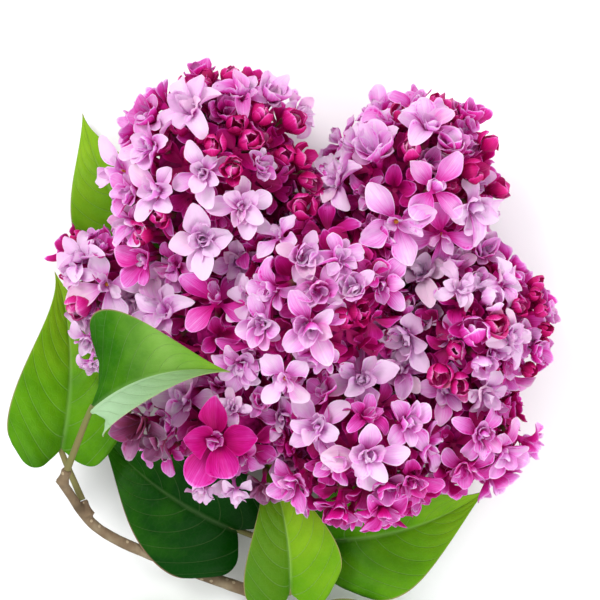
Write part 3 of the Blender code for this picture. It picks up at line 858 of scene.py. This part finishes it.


# deep florets between the others, coloured dark as painted shade in the gaps, so that no gap shows
# more than the head's dark core
def plantInner(name, planted):
    head = heads[name]
    rng = random.Random(f"{seed} inner {name}")
    centre = headFrame(head)[0]
    area = 4 * math.pi * head["radius"] * head["halfLength"] * headValues["innerDepth"] ** 2
    for _, face in faceSites(head, round(area / headValues["innerSpacing"] ** 2)):
        way = unit(wayOut(head, face) + 0.3 * np.array([rng.uniform(-1, 1) for _ in range(3)]))
        point = centre + (face - centre) * headValues["innerDepth"]
        # painted shade: the inner florets take a deep tone for the gaps among the florets
        tone, size = rng.uniform(0.08, 0.4), rng.uniform(0.75, 1.0)
        if point[2] < headValues["lowest"]:
            continue
        if any(depthIn(other, point) < headValues["innerHidden"] for other in heads.values()):
            continue
        planted[name].append((point, way, "inner", tone, size, None))


# pale florets that hang from the left head beside the front leaf: throat, way, tone and size
trailing = (
    ((-82, -5, 33), (-0.5, -0.6, 0.6), 0.98, 0.8),
    ((-81, -14, 38), (-0.3, -0.7, 0.65), 0.92, 0.7),
    ((-80, -23, 41), (-0.2, -0.9, 0.45), 1.0, 0.6),
)


# every floret of every head, and the placed ones that the buds keep clear of
def plantFlorets(leafSpots):
    planted = {name: [] for name in heads}
    facing = plantFacing(planted)
    throats = [throat for throat, _, _ in facing]
    for name in heads:
        plantByRule(name, planted, throats, facing, leafSpots)
    for throat, way, tone, size in trailing:
        hanging = (np.array(throat, float), unit(np.array(way)), "curled", tone, size, None)
        planted["Left"].append(hanging)
    for name in heads:
        plantInner(name, planted)
    return planted, facing


# the core of a head, coloured dark crimson as painted shade in the gaps between florets, uneven as
# packed young buds are, on the stalk from the wood
def addHeart(piece, head, rng):
    centre, axis, side, other = headFrame(head)
    rings, sides = headValues["coreSize"]
    points = []
    for i in range(rings + 1):
        polar = math.pi * i / rings
        for k in range(sides):
            turn = 2 * math.pi * k / sides
            lump = headValues["lumps"] * math.sin(5 * turn + 3 * i)
            swell = headValues["core"] * (1 + lump + rng.uniform(-0.05, 0.05))
            out = math.sin(polar) * head["radius"] * swell
            ray = side * math.cos(turn) + other * math.sin(turn)
            points.append(centre + ray * out + axis * math.cos(polar) * head["halfLength"] * swell)
    grid = np.arange((rings + 1) * sides).reshape(rings + 1, sides)
    grid[0], grid[-1] = grid[0, 0], grid[-1, 0]
    nextOne = np.roll(grid, -1, axis=1)
    quads = np.stack([grid[1:-2], nextOne[1:-2], nextOne[2:-1], grid[2:-1]], -1).reshape(-1, 4)
    top = np.stack([grid[0], nextOne[1], grid[1]], -1)[:, ::-1]
    low = np.stack([grid[-1], grid[-2], nextOne[-2]], -1)[:, ::-1]
    used = np.unique(np.concatenate([quads.ravel(), top.ravel(), low.ravel()]))
    place = np.full(len(points), -1)
    place[used] = np.arange(len(used))
    faces = [place[quads][:, ::-1], place[top][:, ::-1], place[low][:, ::-1]]
    addPatch(piece, settle(np.array(points)[used]), faces, (0.5, 0, 0), (0.1, 0.5, 0), slot=1)
    start = np.array(head["wood"], float)
    way = unit(np.array(head["bend"]) - start)
    seat = start + way * (headValues["stubLength"] + headValues["seatGap"])
    inside = centre + axis * head["halfLength"] * 0.2
    route = smoothRoute([seat, seat + way * 3, head["bend"], inside], 8)
    radii = headValues["stalk"] * np.linspace(1.0, 0.8, len(route))
    radii = radii * (1 + 0.05 * np.sin(np.arange(len(route)) * 1.7))
    addTube(piece, route, radii, 10, (0.4, 0.5, 1))


# places for the buds at a head's tip, apart from each other and from the placed florets
def budSites(head, facing):
    found = []
    last = head["budsFrom"] - headValues["budMargin"]
    for _, point in faceSites(head, headValues["budTries"], last):
        if point[0] < head.get("budsRightOf", -math.inf):
            continue
        if any(np.linalg.norm(point - throat) < headValues["budRoom"] for throat, _, _ in facing):
            continue
        if all(np.linalg.norm(point - spot) > headValues["budSpacing"] for spot in found):
            found.append(point)
    return [tuckUnder(point, facing, headValues["budsUnder"]) for point in found]


def makeHead(name, head, florets, facing, petals, coreShade):
    rng = random.Random(f"{seed} petals {name}")
    centre, axis, _, _ = headFrame(head)
    piece = newPiece()
    addHeart(piece, head, rng)
    for point, way, kind, tone, size, turn in florets:
        root = centre + (point - centre) * headValues["rootDepth"]
        addFloret(piece, point, way, root, kind, tone, size, rng, turn)
    # painted shade on the petals that lie deep inside the heads
    shadeDeepPetals(piece)
    finishPiece("florets" + name, piece, [petals, coreShade], ["florets_" + head["node"]])
    if head["budsFrom"] > 1:
        return
    piece = newPiece()
    for point in budSites(head, facing):
        lean = np.array([rng.uniform(-1, 1) for _ in range(3)])
        way = unit(wayOut(head, point) + 0.8 * axis + 0.2 * lean)
        root = centre + axis * head["halfLength"] * headValues["rootDepth"]
        kind, size = rng.random(), head.get("budSize", 1) * rng.uniform(0.7, 1.0)
        if kind < head.get("opening", headValues["opening"]):
            addFloret(piece, point, way, root, "cup", rng.uniform(0.3, 0.75), size, rng)
        elif kind < headValues["halfOpen"]:
            point = point + way * rng.uniform(-2, 2)
            addFloret(piece, point, way, root, "bud", rng.uniform(-0.05, 0.34), 1.1 * size, rng)
        else:
            point = point + way * rng.uniform(-1.5, 2.5)
            addFloret(piece, point, way, root, "closed", rng.uniform(-0.1, 0.14), 0.85 * size, rng)
    finishPiece("buds" + name, piece, [petals], ["buds_" + head["node"]])


petalLook = dict(
    tone=0.82,
    paleToTip=0.6,  # how much paler from claw to tip: partly the petal's own colour, partly painted shade deep in the floret
    rim=0.4,  # and at the rim, partly the petal's own paler edge and partly a painted highlight, less so on a warm petal
    warmRim=0.22,
    upper=0.15,
    midline=0.07,
    blotches=0.3,
    streaks=0.4,
    deepest=0.26,  # the shade at which the ramp begins
    warmFrom=0.56,  # warmer than this is red
    through=0.38,  # share of the light that passes
)


def petalMaterial():
    made, tree, shader = newMaterial("lilacPetal", roughness=0.5, specular=0.25)
    place, tone = readVector(tree, "growthPlace"), readVector(tree, "growthTone")
    along, across, side = place[0], place[1], place[2]
    # darker at the claw: partly the petal's own colour, partly painted shade where the claw sits
    # deep in the floret
    paleToTip = times(tree, maths(tree, "POWER", along, 0.8), petalLook["paleToTip"])
    shade = plus(tree, times(tree, tone[0], petalLook["tone"]), paleToTip)
    # the pale rim: partly the petal's own edge, partly a painted highlight
    rim = fade(tree, maths(tree, "ABSOLUTE", side), 2.4)
    gain = minus(tree, petalLook["rim"], times(tree, tone[1], petalLook["warmRim"]))
    shade = plus(tree, shade, times(tree, rim, gain))
    shade = plus(tree, shade, times(tree, side, petalLook["upper"]))
    midline = fade(tree, maths(tree, "ABSOLUTE", across), 9.0)
    shade = plus(tree, shade, times(tree, midline, petalLook["midline"]))
    blotch = noise(tree, 150, 3)
    shade = plus(tree, shade, past(tree, blotch, 0.5, petalLook["blotches"]))
    fan = joinVector(tree, times(tree, along, 1.6), times(tree, across, 11.0),
                     times(tree, tone[1], 40.0))
    veins = noise(tree, 1.6, 2, fan)
    shade = plus(tree, shade, past(tree, veins, 0.5, petalLook["streaks"]))
    colour = ramp(tree, minus(tree, shade, petalLook["deepest"]), (
        (0.0, (0.46, 0.0, 0.14)),
        (0.16, (0.60, 0.002, 0.22)),
        (0.32, (0.72, 0.008, 0.34)),
        (0.48, (0.80, 0.055, 0.52)),
        (0.64, (0.87, 0.235, 0.78)),
        (0.82, (0.91, 0.53, 0.94)),
        (1.0, (0.94, 0.82, 0.98)),
    ))
    warm = mixColour(tree, 1.0, colour, (1.0, 0.75, 0.5), "MULTIPLY")
    redness = past(tree, tone[1], petalLook["warmFrom"], 1.3, clamp=True)
    colour = mixColour(tree, redness, colour, warm)
    # calyx and stalk are green, faded petals half so, and the middle of a flat floret is golden
    green = mixColour(tree, noise(tree, 300, 2), (0.10, 0.16, 0.03), (0.24, 0.12, 0.08))
    colour = mixColour(tree, maths(tree, "MINIMUM", tone[2], 1.0), colour, green)
    colour = mixColour(tree, maths(tree, "GREATER_THAN", tone[2], 1.5), colour, (0.72, 0.42, 0.05))
    tree.links.new(colour, shader.inputs["Base Color"])
    tree.links.new(plus(tree, times(tree, blotch, 0.25), 0.36), shader.inputs["Roughness"])
    addBump(tree, shader, veins, 0.45, 0.0005)
    glow = mixColour(tree, 1.0, colour, (1.0, 0.42, 0.82), "MULTIPLY")
    letLightThrough(tree, shader, glow, petalLook["through"])
    return made


# painted shade: the dark crimson of the core stands for the shadow inside a head
def coreShadeMaterial():
    made, tree, shader = newMaterial("lilacCoreShade", roughness=0.7, specular=0.2)
    buds = cells(tree, 260.0)
    colour = ramp(tree, buds, (
        (0.0, (0.62, 0.006, 0.28)), (0.45, (0.44, 0.001, 0.18)), (1.0, (0.26, 0.0, 0.10)),
    ))
    tree.links.new(colour, shader.inputs["Base Color"])
    addBump(tree, shader, buds, 0.8, -0.002)
    return made


# Leaves: where the stalk leaves the wood, the blade's base and tip, its width, the way it faces,
# how far its left and right half fold up, its arch and bow, and how far its lobes reach back.
# green is its tone; paintedLight above 0 paints sheen on it, and below 0 paints shade on its left
# half.

leaves = {
    "Front": dict(
        node="front", wood=(-91, -70, 42), base=(-78.8, -41.6, 58), tip=(-25, -26.6, 64),
        width=63, faces=(-0.1, 0.15, 0.98), folds=(6, 60), arch=5, bow=5.8, lobe=-8,
        green=0.46, paintedLight=1.0,
    ),
    "FarLeft": dict(
        node="far_left", wood=(-82, -84, 32), base=(-93, -58, 30), tip=(-98, 12, 14), width=50,
        faces=(0.25, 0.1, 0.96), folds=(20, 14), arch=8, bow=-4, lobe=8, green=0.66, paintedLight=0,
    ),
    "UpperLeft": dict(
        node="upper_left", wood=(-46.5, -8.5, 8.6), base=(-58, 20, 7), tip=(-88, 76, 5), width=48,
        faces=(-0.15, 0, 0.98), folds=(12, 20), arch=9, bow=3, lobe=8, green=0.7, paintedLight=0,
    ),
    "DarkLow": dict(
        node="dark_low", wood=(-8.6, -98, 9.4), base=(-25, -92, 14), tip=(-82, -50, 10), width=54,
        # painted shade: green=0.04 makes this leaf very dark, for the shadow it lies in under the
        # flowers
        faces=(-0.1, -0.1, 0.98), folds=(16, 18), arch=8, bow=3, lobe=8, green=0.04, paintedLight=0,
    ),
    "BrightLow": dict(
        node="bright_low", wood=(-9.6, -110, 8.8), base=(-4, -116, 20), tip=(-15, -58, 25),
        width=42, faces=(0.15, -0.2, 0.97), folds=(22, 20), arch=5, bow=-3, lobe=7, green=0.86,
        paintedLight=-1.0,
    ),
    "LowerRight": dict(
        node="lower_right", wood=(-8.6, -98, 9.4), base=(14, -96, 11), tip=(76, -76, 6), width=52,
        faces=(0.1, -0.1, 0.98), folds=(18, 20), arch=8, bow=-3, lobe=8, green=0.6, paintedLight=0,
    ),
    "StemLeft": dict(
        node="stem_left", wood=(-15.6, -144, 6.6), base=(-35, -146, 9), tip=(-96, -151, 4),
        width=48, faces=(-0.1, 0, 0.99), folds=(18, 20), arch=9, bow=-4, lobe=8, green=0.5, paintedLight=0,
    ),
    "StemRight": dict(
        node="stem_right", wood=(-15.6, -144, 6.6), base=(4, -144, 9), tip=(66, -142, 4), width=50,
        faces=(0.1, 0, 0.99), folds=(20, 18), arch=9, bow=4, lobe=8, green=0.4, paintedLight=0,
    ),
}
bladeValues = dict(
    rows=72, columns=44, last=0.992, thickness=0.5,
    base=0.15, shoulder=0.6, taper=1.6,  # the outline's powers towards base and tip
    wave=1.6, notch=0.09, crease=0.12,
    veins=8.5, slant=2.9, veinCurve=1.25, apart=0.45,  # side veins to a blade, and how they run
    quilt=0.28, midrib=0.9, midribWidth=0.16, petiole=1.2,
)


def bladeOutline(u):
    v = bladeValues
    widest = (v["shoulder"] - v["taper"] * v["base"]) / (v["taper"] + v["shoulder"])
    greatest = (1 - widest) ** v["taper"] * (v["base"] + widest) ** v["shoulder"]
    return (1 - u) ** v["taper"] * (v["base"] + u) ** v["shoulder"] / greatest


def bladeFrame(leaf):
    base = np.array(leaf["base"], float)
    along = unit(np.array(leaf["tip"]) - base)
    across = unit(np.cross(leaf["faces"], along))
    return base, along, across, np.cross(along, across)


# which side vein is nearest, as a saw tooth over u and v
def veinTooth(u, v):
    slanted = bladeValues["slant"] * abs(v) ** bladeValues["veinCurve"]
    return bladeValues["veins"] * u - slanted + (v > 0) * bladeValues["apart"]


def bladePoints(leaf, u, v):
    base, along, across, face = bladeFrame(leaf)
    length = np.linalg.norm(np.array(leaf["tip"]) - base)
    left, right = leaf["folds"]
    fold = np.radians(np.where(v > 0, left, right)) * smooth(abs(v) / bladeValues["crease"])
    out = abs(v) * leaf["width"] / 2 * bladeOutline(u)
    back = leaf["lobe"] * np.sin(math.pi * 0.85 * abs(v)) * (1 - u) ** 4
    back = back - length * bladeValues["notch"] * abs(v) ** 5 * (1 - u) ** 9
    wave = bladeValues["wave"] * v * v * np.sin(11 * u + 2 * v) * (1 - u)
    lift = out * np.sin(fold) + 4 * leaf["arch"] * u * (1 - u) + wave
    return (base + np.outer(length * u - back, along)
            + np.outer(np.sign(v) * out * np.cos(fold) + 4 * leaf["bow"] * u * (1 - u), across)
            + np.outer(lift, face))


# the way a blade faces at each of its points, by its slope along and across
def bladeNormals(leaf, u, v):
    step = 0.004
    inner = np.clip(u, step, 1 - 3 * step)
    slope = bladePoints(leaf, inner + step, v) - bladePoints(leaf, inner - step, v)
    spread = (bladePoints(leaf, inner, np.minimum(v + step, 1))
              - bladePoints(leaf, inner, np.maximum(v - step, -1)))
    normal = np.cross(slope, spread)
    return normal / np.linalg.norm(normal, axis=1)[:, None]


def makeLeaf(name, leaf, blade):
    a, b = np.meshgrid(np.linspace(0, bladeValues["last"], bladeValues["rows"] + 1),
                       np.linspace(-1, 1, bladeValues["columns"] + 1), indexing="ij")
    inside, faces = skins(a.shape)
    flat = inside.ravel()
    u, v = a.ravel(), b.ravel()
    normal = bladeNormals(leaf, u, v)
    ridge = np.exp(-(v * (1 + 5 * (1 - u)) / bladeValues["midribWidth"]) ** 2) * (1 - 0.8 * u)
    quilt = bladeValues["quilt"] * np.cos(2 * math.pi * veinTooth(u, v)) * (1 - u)
    quilt = quilt * np.minimum(abs(v) * 4, 1) * (1 - v ** 4)
    middle = bladePoints(leaf, u, v) - normal * (quilt + 0.3 * ridge)[:, None]
    half = bladeValues["thickness"] / 2
    high = middle + normal * (half * flat)[:, None]
    low = middle - normal * ((half + bladeValues["midrib"] * ridge) * flat)[:, None]
    place = np.stack([u, v, flat * 1.0], -1)
    points = settle(np.concatenate([high, low[flat]]))
    places = np.concatenate([place, place[flat] * (1, 1, -1)])
    piece = newPiece()
    addPatch(piece, points, faces, places, (leaf["green"], leaf["paintedLight"], 0))
    base, _, _, face = bladeFrame(leaf)
    start = np.array(leaf["wood"], float)
    seat = start + unit(base - start) * (headValues["stubLength"] + headValues["seatGap"])
    sunk = bladePoints(leaf, np.array([0.05, 0.25]), np.array([0.0, 0.0]))
    route = smoothRoute([seat, base - face * 1.2, sunk[0] - face * 0.9, sunk[1] - face * 0.6], 8)
    radii = bladeValues["petiole"] * np.linspace(1.15, 0.5, len(route))
    addTube(piece, route, radii, 12, (leaf["green"], 0, 1))
    finishPiece("leaf" + name, piece, [blade], ["leaf_" + leaf["node"]])


# points spread over a blade, which the florets keep clear of
def spotsOn(leaf):
    u, v = np.meshgrid(np.linspace(0, 0.95, 16), np.linspace(-1, 1, 11))
    return bladePoints(leaf, u.ravel(), v.ravel())


bladeLook = dict(
    mottle=0.5,
    tip=0.5,  # how much lighter from base to tip
    veins=0.6,
    net=0.06,
    back=0.5,
    edge=0.6,
    dusk=-0.6,  # painted shade on the left half, where paintedLight is below 0
    through=0.28,  # share of the light that passes
)


def bladeMaterial():
    made, tree, shader = newMaterial("lilacLeaf", roughness=0.5, specular=0.09)
    place, tone = readVector(tree, "growthPlace"), readVector(tree, "growthTone")
    u, v, face = place[0], place[1], place[2]
    green, paintedLight, stalk = tone[0], tone[1], tone[2]
    width = maths(tree, "ABSOLUTE", v)
    leftHalf, rightHalf = maths(tree, "GREATER_THAN", v, 0.0), maths(tree, "LESS_THAN", v, 0.0)
    curve = maths(tree, "POWER", width, bladeValues["veinCurve"])
    tooth = minus(tree, times(tree, u, bladeValues["veins"]),
                  times(tree, curve, bladeValues["slant"]))
    tooth = plus(tree, tooth, times(tree, leftHalf, bladeValues["apart"]))
    away = maths(tree, "ABSOLUTE", minus(tree, maths(tree, "FRACT", tooth), 0.5))
    line = past(tree, away, 0.455, 22.0, clamp=True)
    veins = maths(tree, "MAXIMUM", line, fade(tree, width, 16.0))
    net = fade(tree, cells(tree, 420.0, "DISTANCE_TO_EDGE"), 9.0)
    mottle = noise(tree, 70, 4)
    shade = plus(tree, plus(tree, green, past(tree, mottle, 0.5, bladeLook["mottle"])),
                 past(tree, u, 0.45, bladeLook["tip"]))
    colour = ramp(tree, shade, (
        (0.0, (0.001, 0.045, 0.0)), (0.3, (0.026, 0.15, 0.0)), (0.6, (0.12, 0.34, 0.004)),
        (1.0, (0.28, 0.50, 0.015)),
    ))
    # painted sheen: a leaf with paintedLight above 0 is lighter in the middle and pale on its right
    # half
    paintedSheen = maths(tree, "MAXIMUM", paintedLight, 0.0)
    middle = fade(tree, maths(tree, "ABSOLUTE", minus(tree, u, 0.62)), 3.0)
    sheen = times(tree, times(tree, middle, paintedSheen), plus(tree, mottle, 0.1))
    colour = mixColour(tree, sheen, colour, (0.26, 0.46, 0.10))
    # painted sheen over the right half
    sheenHalf = times(tree, times(tree, paintedSheen, rightHalf), minus(tree, 1.15, u, clamp=True))
    colour = mixColour(tree, sheenHalf, colour, (0.42, 0.62, 0.38))
    # painted shade on the left half of a leaf whose paintedLight is below 0
    dusk = times(tree, times(tree, paintedLight, bladeLook["dusk"]), leftHalf)
    colour = mixColour(tree, maths(tree, "MAXIMUM", dusk, 0.0), colour, (0.02, 0.11, 0.0))
    strength = plus(tree, 0.1, times(tree, green, 0.25), clamp=True)
    pale = mixColour(tree, strength, colour, (0.5, 0.72, 0.3))
    colour = mixColour(tree, times(tree, veins, bladeLook["veins"]), colour, pale)
    colour = mixColour(tree, times(tree, net, bladeLook["net"]), colour, pale)
    under = times(tree, maths(tree, "LESS_THAN", face, -0.1), bladeLook["back"])
    colour = mixColour(tree, under, colour, (0.36, 0.52, 0.26))
    margin = past(tree, width, 0.975, 40.0, clamp=True)
    edge = maths(tree, "MAXIMUM", margin, past(tree, u, 0.955, 20.0, clamp=True))
    colour = mixColour(tree, times(tree, edge, bladeLook["edge"]), colour, (0.55, 0.28, 0.22))
    colour = mixColour(tree, stalk, colour,
                       mixColour(tree, mottle, (0.16, 0.26, 0.06), (0.30, 0.16, 0.10)))
    tree.links.new(colour, shader.inputs["Base Color"])
    tree.links.new(plus(tree, times(tree, mottle, 0.2), 0.32), shader.inputs["Roughness"])
    addBump(tree, shader, minus(tree, times(tree, net, -0.15), veins), 0.5, 0.0006)
    letLightThrough(tree, shader, colour, bladeLook["through"])
    return made


# Wood

woodLengths = (
    dict(points=((-22, -190, 4.4), (-17, -150, 6), (-9, -105, 9), (-6, -66, 12)),
         radii=(4.4, 3.4)),
    dict(points=((-6, -67, 12), (-13, -49, 12.4), (-19, -29, 12.8), (-22, -14, 12)),
         radii=(3.0, 2.3)),
    dict(points=((-6, -67, 12), (4, -50, 12.4), (10, -28, 13)), radii=(3.0, 2.3)),
    dict(points=((-16, -37, 12.6), (-31, -24, 10), (-47, -8, 8.5)), radii=(2.2, 1.8)),
    dict(points=((-12, -120, 8), (-48, -106, 14), (-78, -90, 27), (-91, -70, 42)),
         radii=(2.6, 1.8)),
)
woodValues = dict(
    steps=12, sides=20, rough=0.035, voxel=0.55,
    stub=1.9, stubSteps=(0, 2, 4, 5.4), stubSwell=(1.5, 1.15, 1.0, 1.12, 1.05),
    cutDepth=0.45, cutRadius=6,  # what lies so near the middle of the cut end shows its rings
)


def makeStem(bark):
    rng = random.Random(seed)
    piece = newPiece()
    for length in woodLengths:
        route = smoothRoute(length["points"], woodValues["steps"])
        share = np.linspace(0, 1, len(route))
        radii = np.interp(share, (0, 1), length["radii"])
        radii = radii * (1 + woodValues["rough"] * np.array([rng.uniform(-1, 1) for _ in route]))
        addTube(piece, route, radii, woodValues["sides"], (0, 0, 0))
    for carried in [*heads.values(), *leaves.values()]:
        start = np.array(carried["wood"], float)
        way = unit(np.array(carried.get("bend", carried.get("base"))) - start)
        along = (*woodValues["stubSteps"], headValues["stubLength"])
        radii = np.array(woodValues["stubSwell"]) * woodValues["stub"]
        addTube(piece, [start + way * reach for reach in along], radii, 12, (0, 0, 0))
    made = addObject("stemWood", meshFrom("stemWood", piece))
    blend = made.modifiers.new("grownTogether", "REMESH")
    blend.mode, blend.voxel_size = "VOXEL", woodValues["voxel"] * mm
    soften = made.modifiers.new("soften", "SMOOTH")
    soften.factor, soften.iterations = 0.5, 3
    graph = bpy.context.evaluated_depsgraph_get()
    grown = bpy.data.meshes.new_from_object(made.evaluated_get(graph))
    made.modifiers.clear()
    made.data = grown
    markCut(grown)
    grown.materials.clear()
    grown.materials.append(bark)
    grown.shade_smooth()
    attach(made, "root")
    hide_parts("stem_wood")
    print(f"stemWood: {2 * len(grown.polygons)} triangles")


# whether a point is on the cut end, how far out from the middle and how deep
def markCut(mesh):
    first, second = woodLengths[0]["points"][:2]
    spots = np.empty(len(mesh.vertices) * 3, np.float32)
    mesh.vertices.foreach_get("co", spots)
    way = unit(np.array(second) - first)
    off = (spots.reshape(-1, 3) - (np.array(first) + bunchShift) * mm) / mm
    depth = off @ way
    out = np.linalg.norm(off - np.outer(depth, way), axis=1)
    onCut = (depth < woodValues["cutDepth"]) & (out < woodValues["cutRadius"])
    setVectors(mesh, "growthPlace", np.stack([onCut * 1.0, out, depth], -1))


def barkMaterial():
    made, tree, shader = newMaterial("lilacBark", roughness=0.8, specular=0.25)
    place = readVector(tree, "growthPlace")
    coarse = noise(tree, 90, 5)
    stretched = tree.nodes.new("ShaderNodeMapping")
    stretched.inputs["Scale"].default_value = (1.0, 0.16, 1.0)
    tree.links.new(objectPlace(tree), stretched.inputs["Vector"])
    fibres = noise(tree, 900, 4, stretched.outputs[0])
    colour = ramp(tree, coarse, (
        (0.3, (0.10, 0.065, 0.035)), (0.5, (0.19, 0.13, 0.075)), (0.7, (0.30, 0.24, 0.15)),
    ))
    streak = mixColour(tree, 0.5, colour, (0.06, 0.05, 0.03))
    colour = mixColour(tree, times(tree, fibres, 0.6), colour, streak)
    pore = maths(tree, "LESS_THAN", cells(tree, 230.0), 0.16)
    colour = mixColour(tree, times(tree, pore, 0.7), colour, (0.42, 0.34, 0.22))
    rings = ramp(tree, maths(tree, "FRACT", times(tree, place[1], 1.1)), (
        (0.0, (0.62, 0.55, 0.34)), (0.8, (0.52, 0.47, 0.26)), (1.0, (0.36, 0.33, 0.16)),
    ))
    colour = mixColour(tree, place[0], colour, rings)
    tree.links.new(colour, shader.inputs["Base Color"])
    relief = plus(tree, times(tree, pore, 0.5), plus(tree, fibres, coarse))
    addBump(tree, shader, relief, 0.6, 0.0006)
    return made


# The table and the light

lightValues = dict(
    floor=1.4, world=1.08, sky=(0.97, 0.98, 1.0),
    key=dict(place=(-0.42, 0.5, 0.85), power=6.0, size=0.3),
    fill=dict(place=(0.6, -0.4, 0.7), power=4.4, size=0.6),
    aim=(0, 0, 0.03),
)


def makeTable():
    half = lightValues["floor"]
    corners = [(-half, -half, 0), (half, -half, 0), (half, half, 0), (-half, half, 0)]
    mesh = bpy.data.meshes.new("table")
    mesh.from_pydata(corners, [], [(0, 1, 2, 3)])
    made, tree, shader = newMaterial("paleTable", roughness=0.9, specular=0.1)
    colour = ramp(tree, noise(tree, 4, 2), ((0.3, (0.88, 0.88, 0.88)), (0.7, (0.93, 0.93, 0.93))))
    tree.links.new(colour, shader.inputs["Base Color"])
    mesh.materials.append(made)
    addObject("table", mesh)


def addLamp(name, place, power, size):
    data = bpy.data.lights.new(name, "AREA")
    data.energy, data.size = power, size
    lamp = addObject(name, data)
    lamp.location = place
    aim = unit(np.array(place) - np.array(lightValues["aim"]))
    lamp.rotation_euler = (math.acos(aim[2]), 0, math.atan2(aim[1], aim[0]) + math.pi / 2)


def setLight():
    world = bpy.data.worlds.new("softDay")
    world.use_nodes = True
    sky = world.node_tree.nodes["Background"]
    sky.inputs["Color"].default_value = (*lightValues["sky"], 1)
    sky.inputs["Strength"].default_value = lightValues["world"]
    bpy.context.scene.world = world
    addLamp("keyLight", **lightValues["key"])
    addLamp("fillLight", **lightValues["fill"])
    bpy.context.scene.view_settings.view_transform = "Standard"


setCamera()
setLight()
makeTable()
print("camera, table and light")

petals, coreShade, blade, bark = petalMaterial(), coreShadeMaterial(), bladeMaterial(), barkMaterial()
makeStem(bark)
leafSpots = []
for name, leaf in leaves.items():
    makeLeaf(name, leaf, blade)
    leafSpots.append(spotsOn(leaf))
print("stem and leaves")

planted, facing = plantFlorets(np.concatenate(leafSpots))
for name, head in heads.items():
    makeHead(name, head, planted[name], facing, petals, coreShade)
print(f"{sum(len(p) for p in planted.values())} florets")
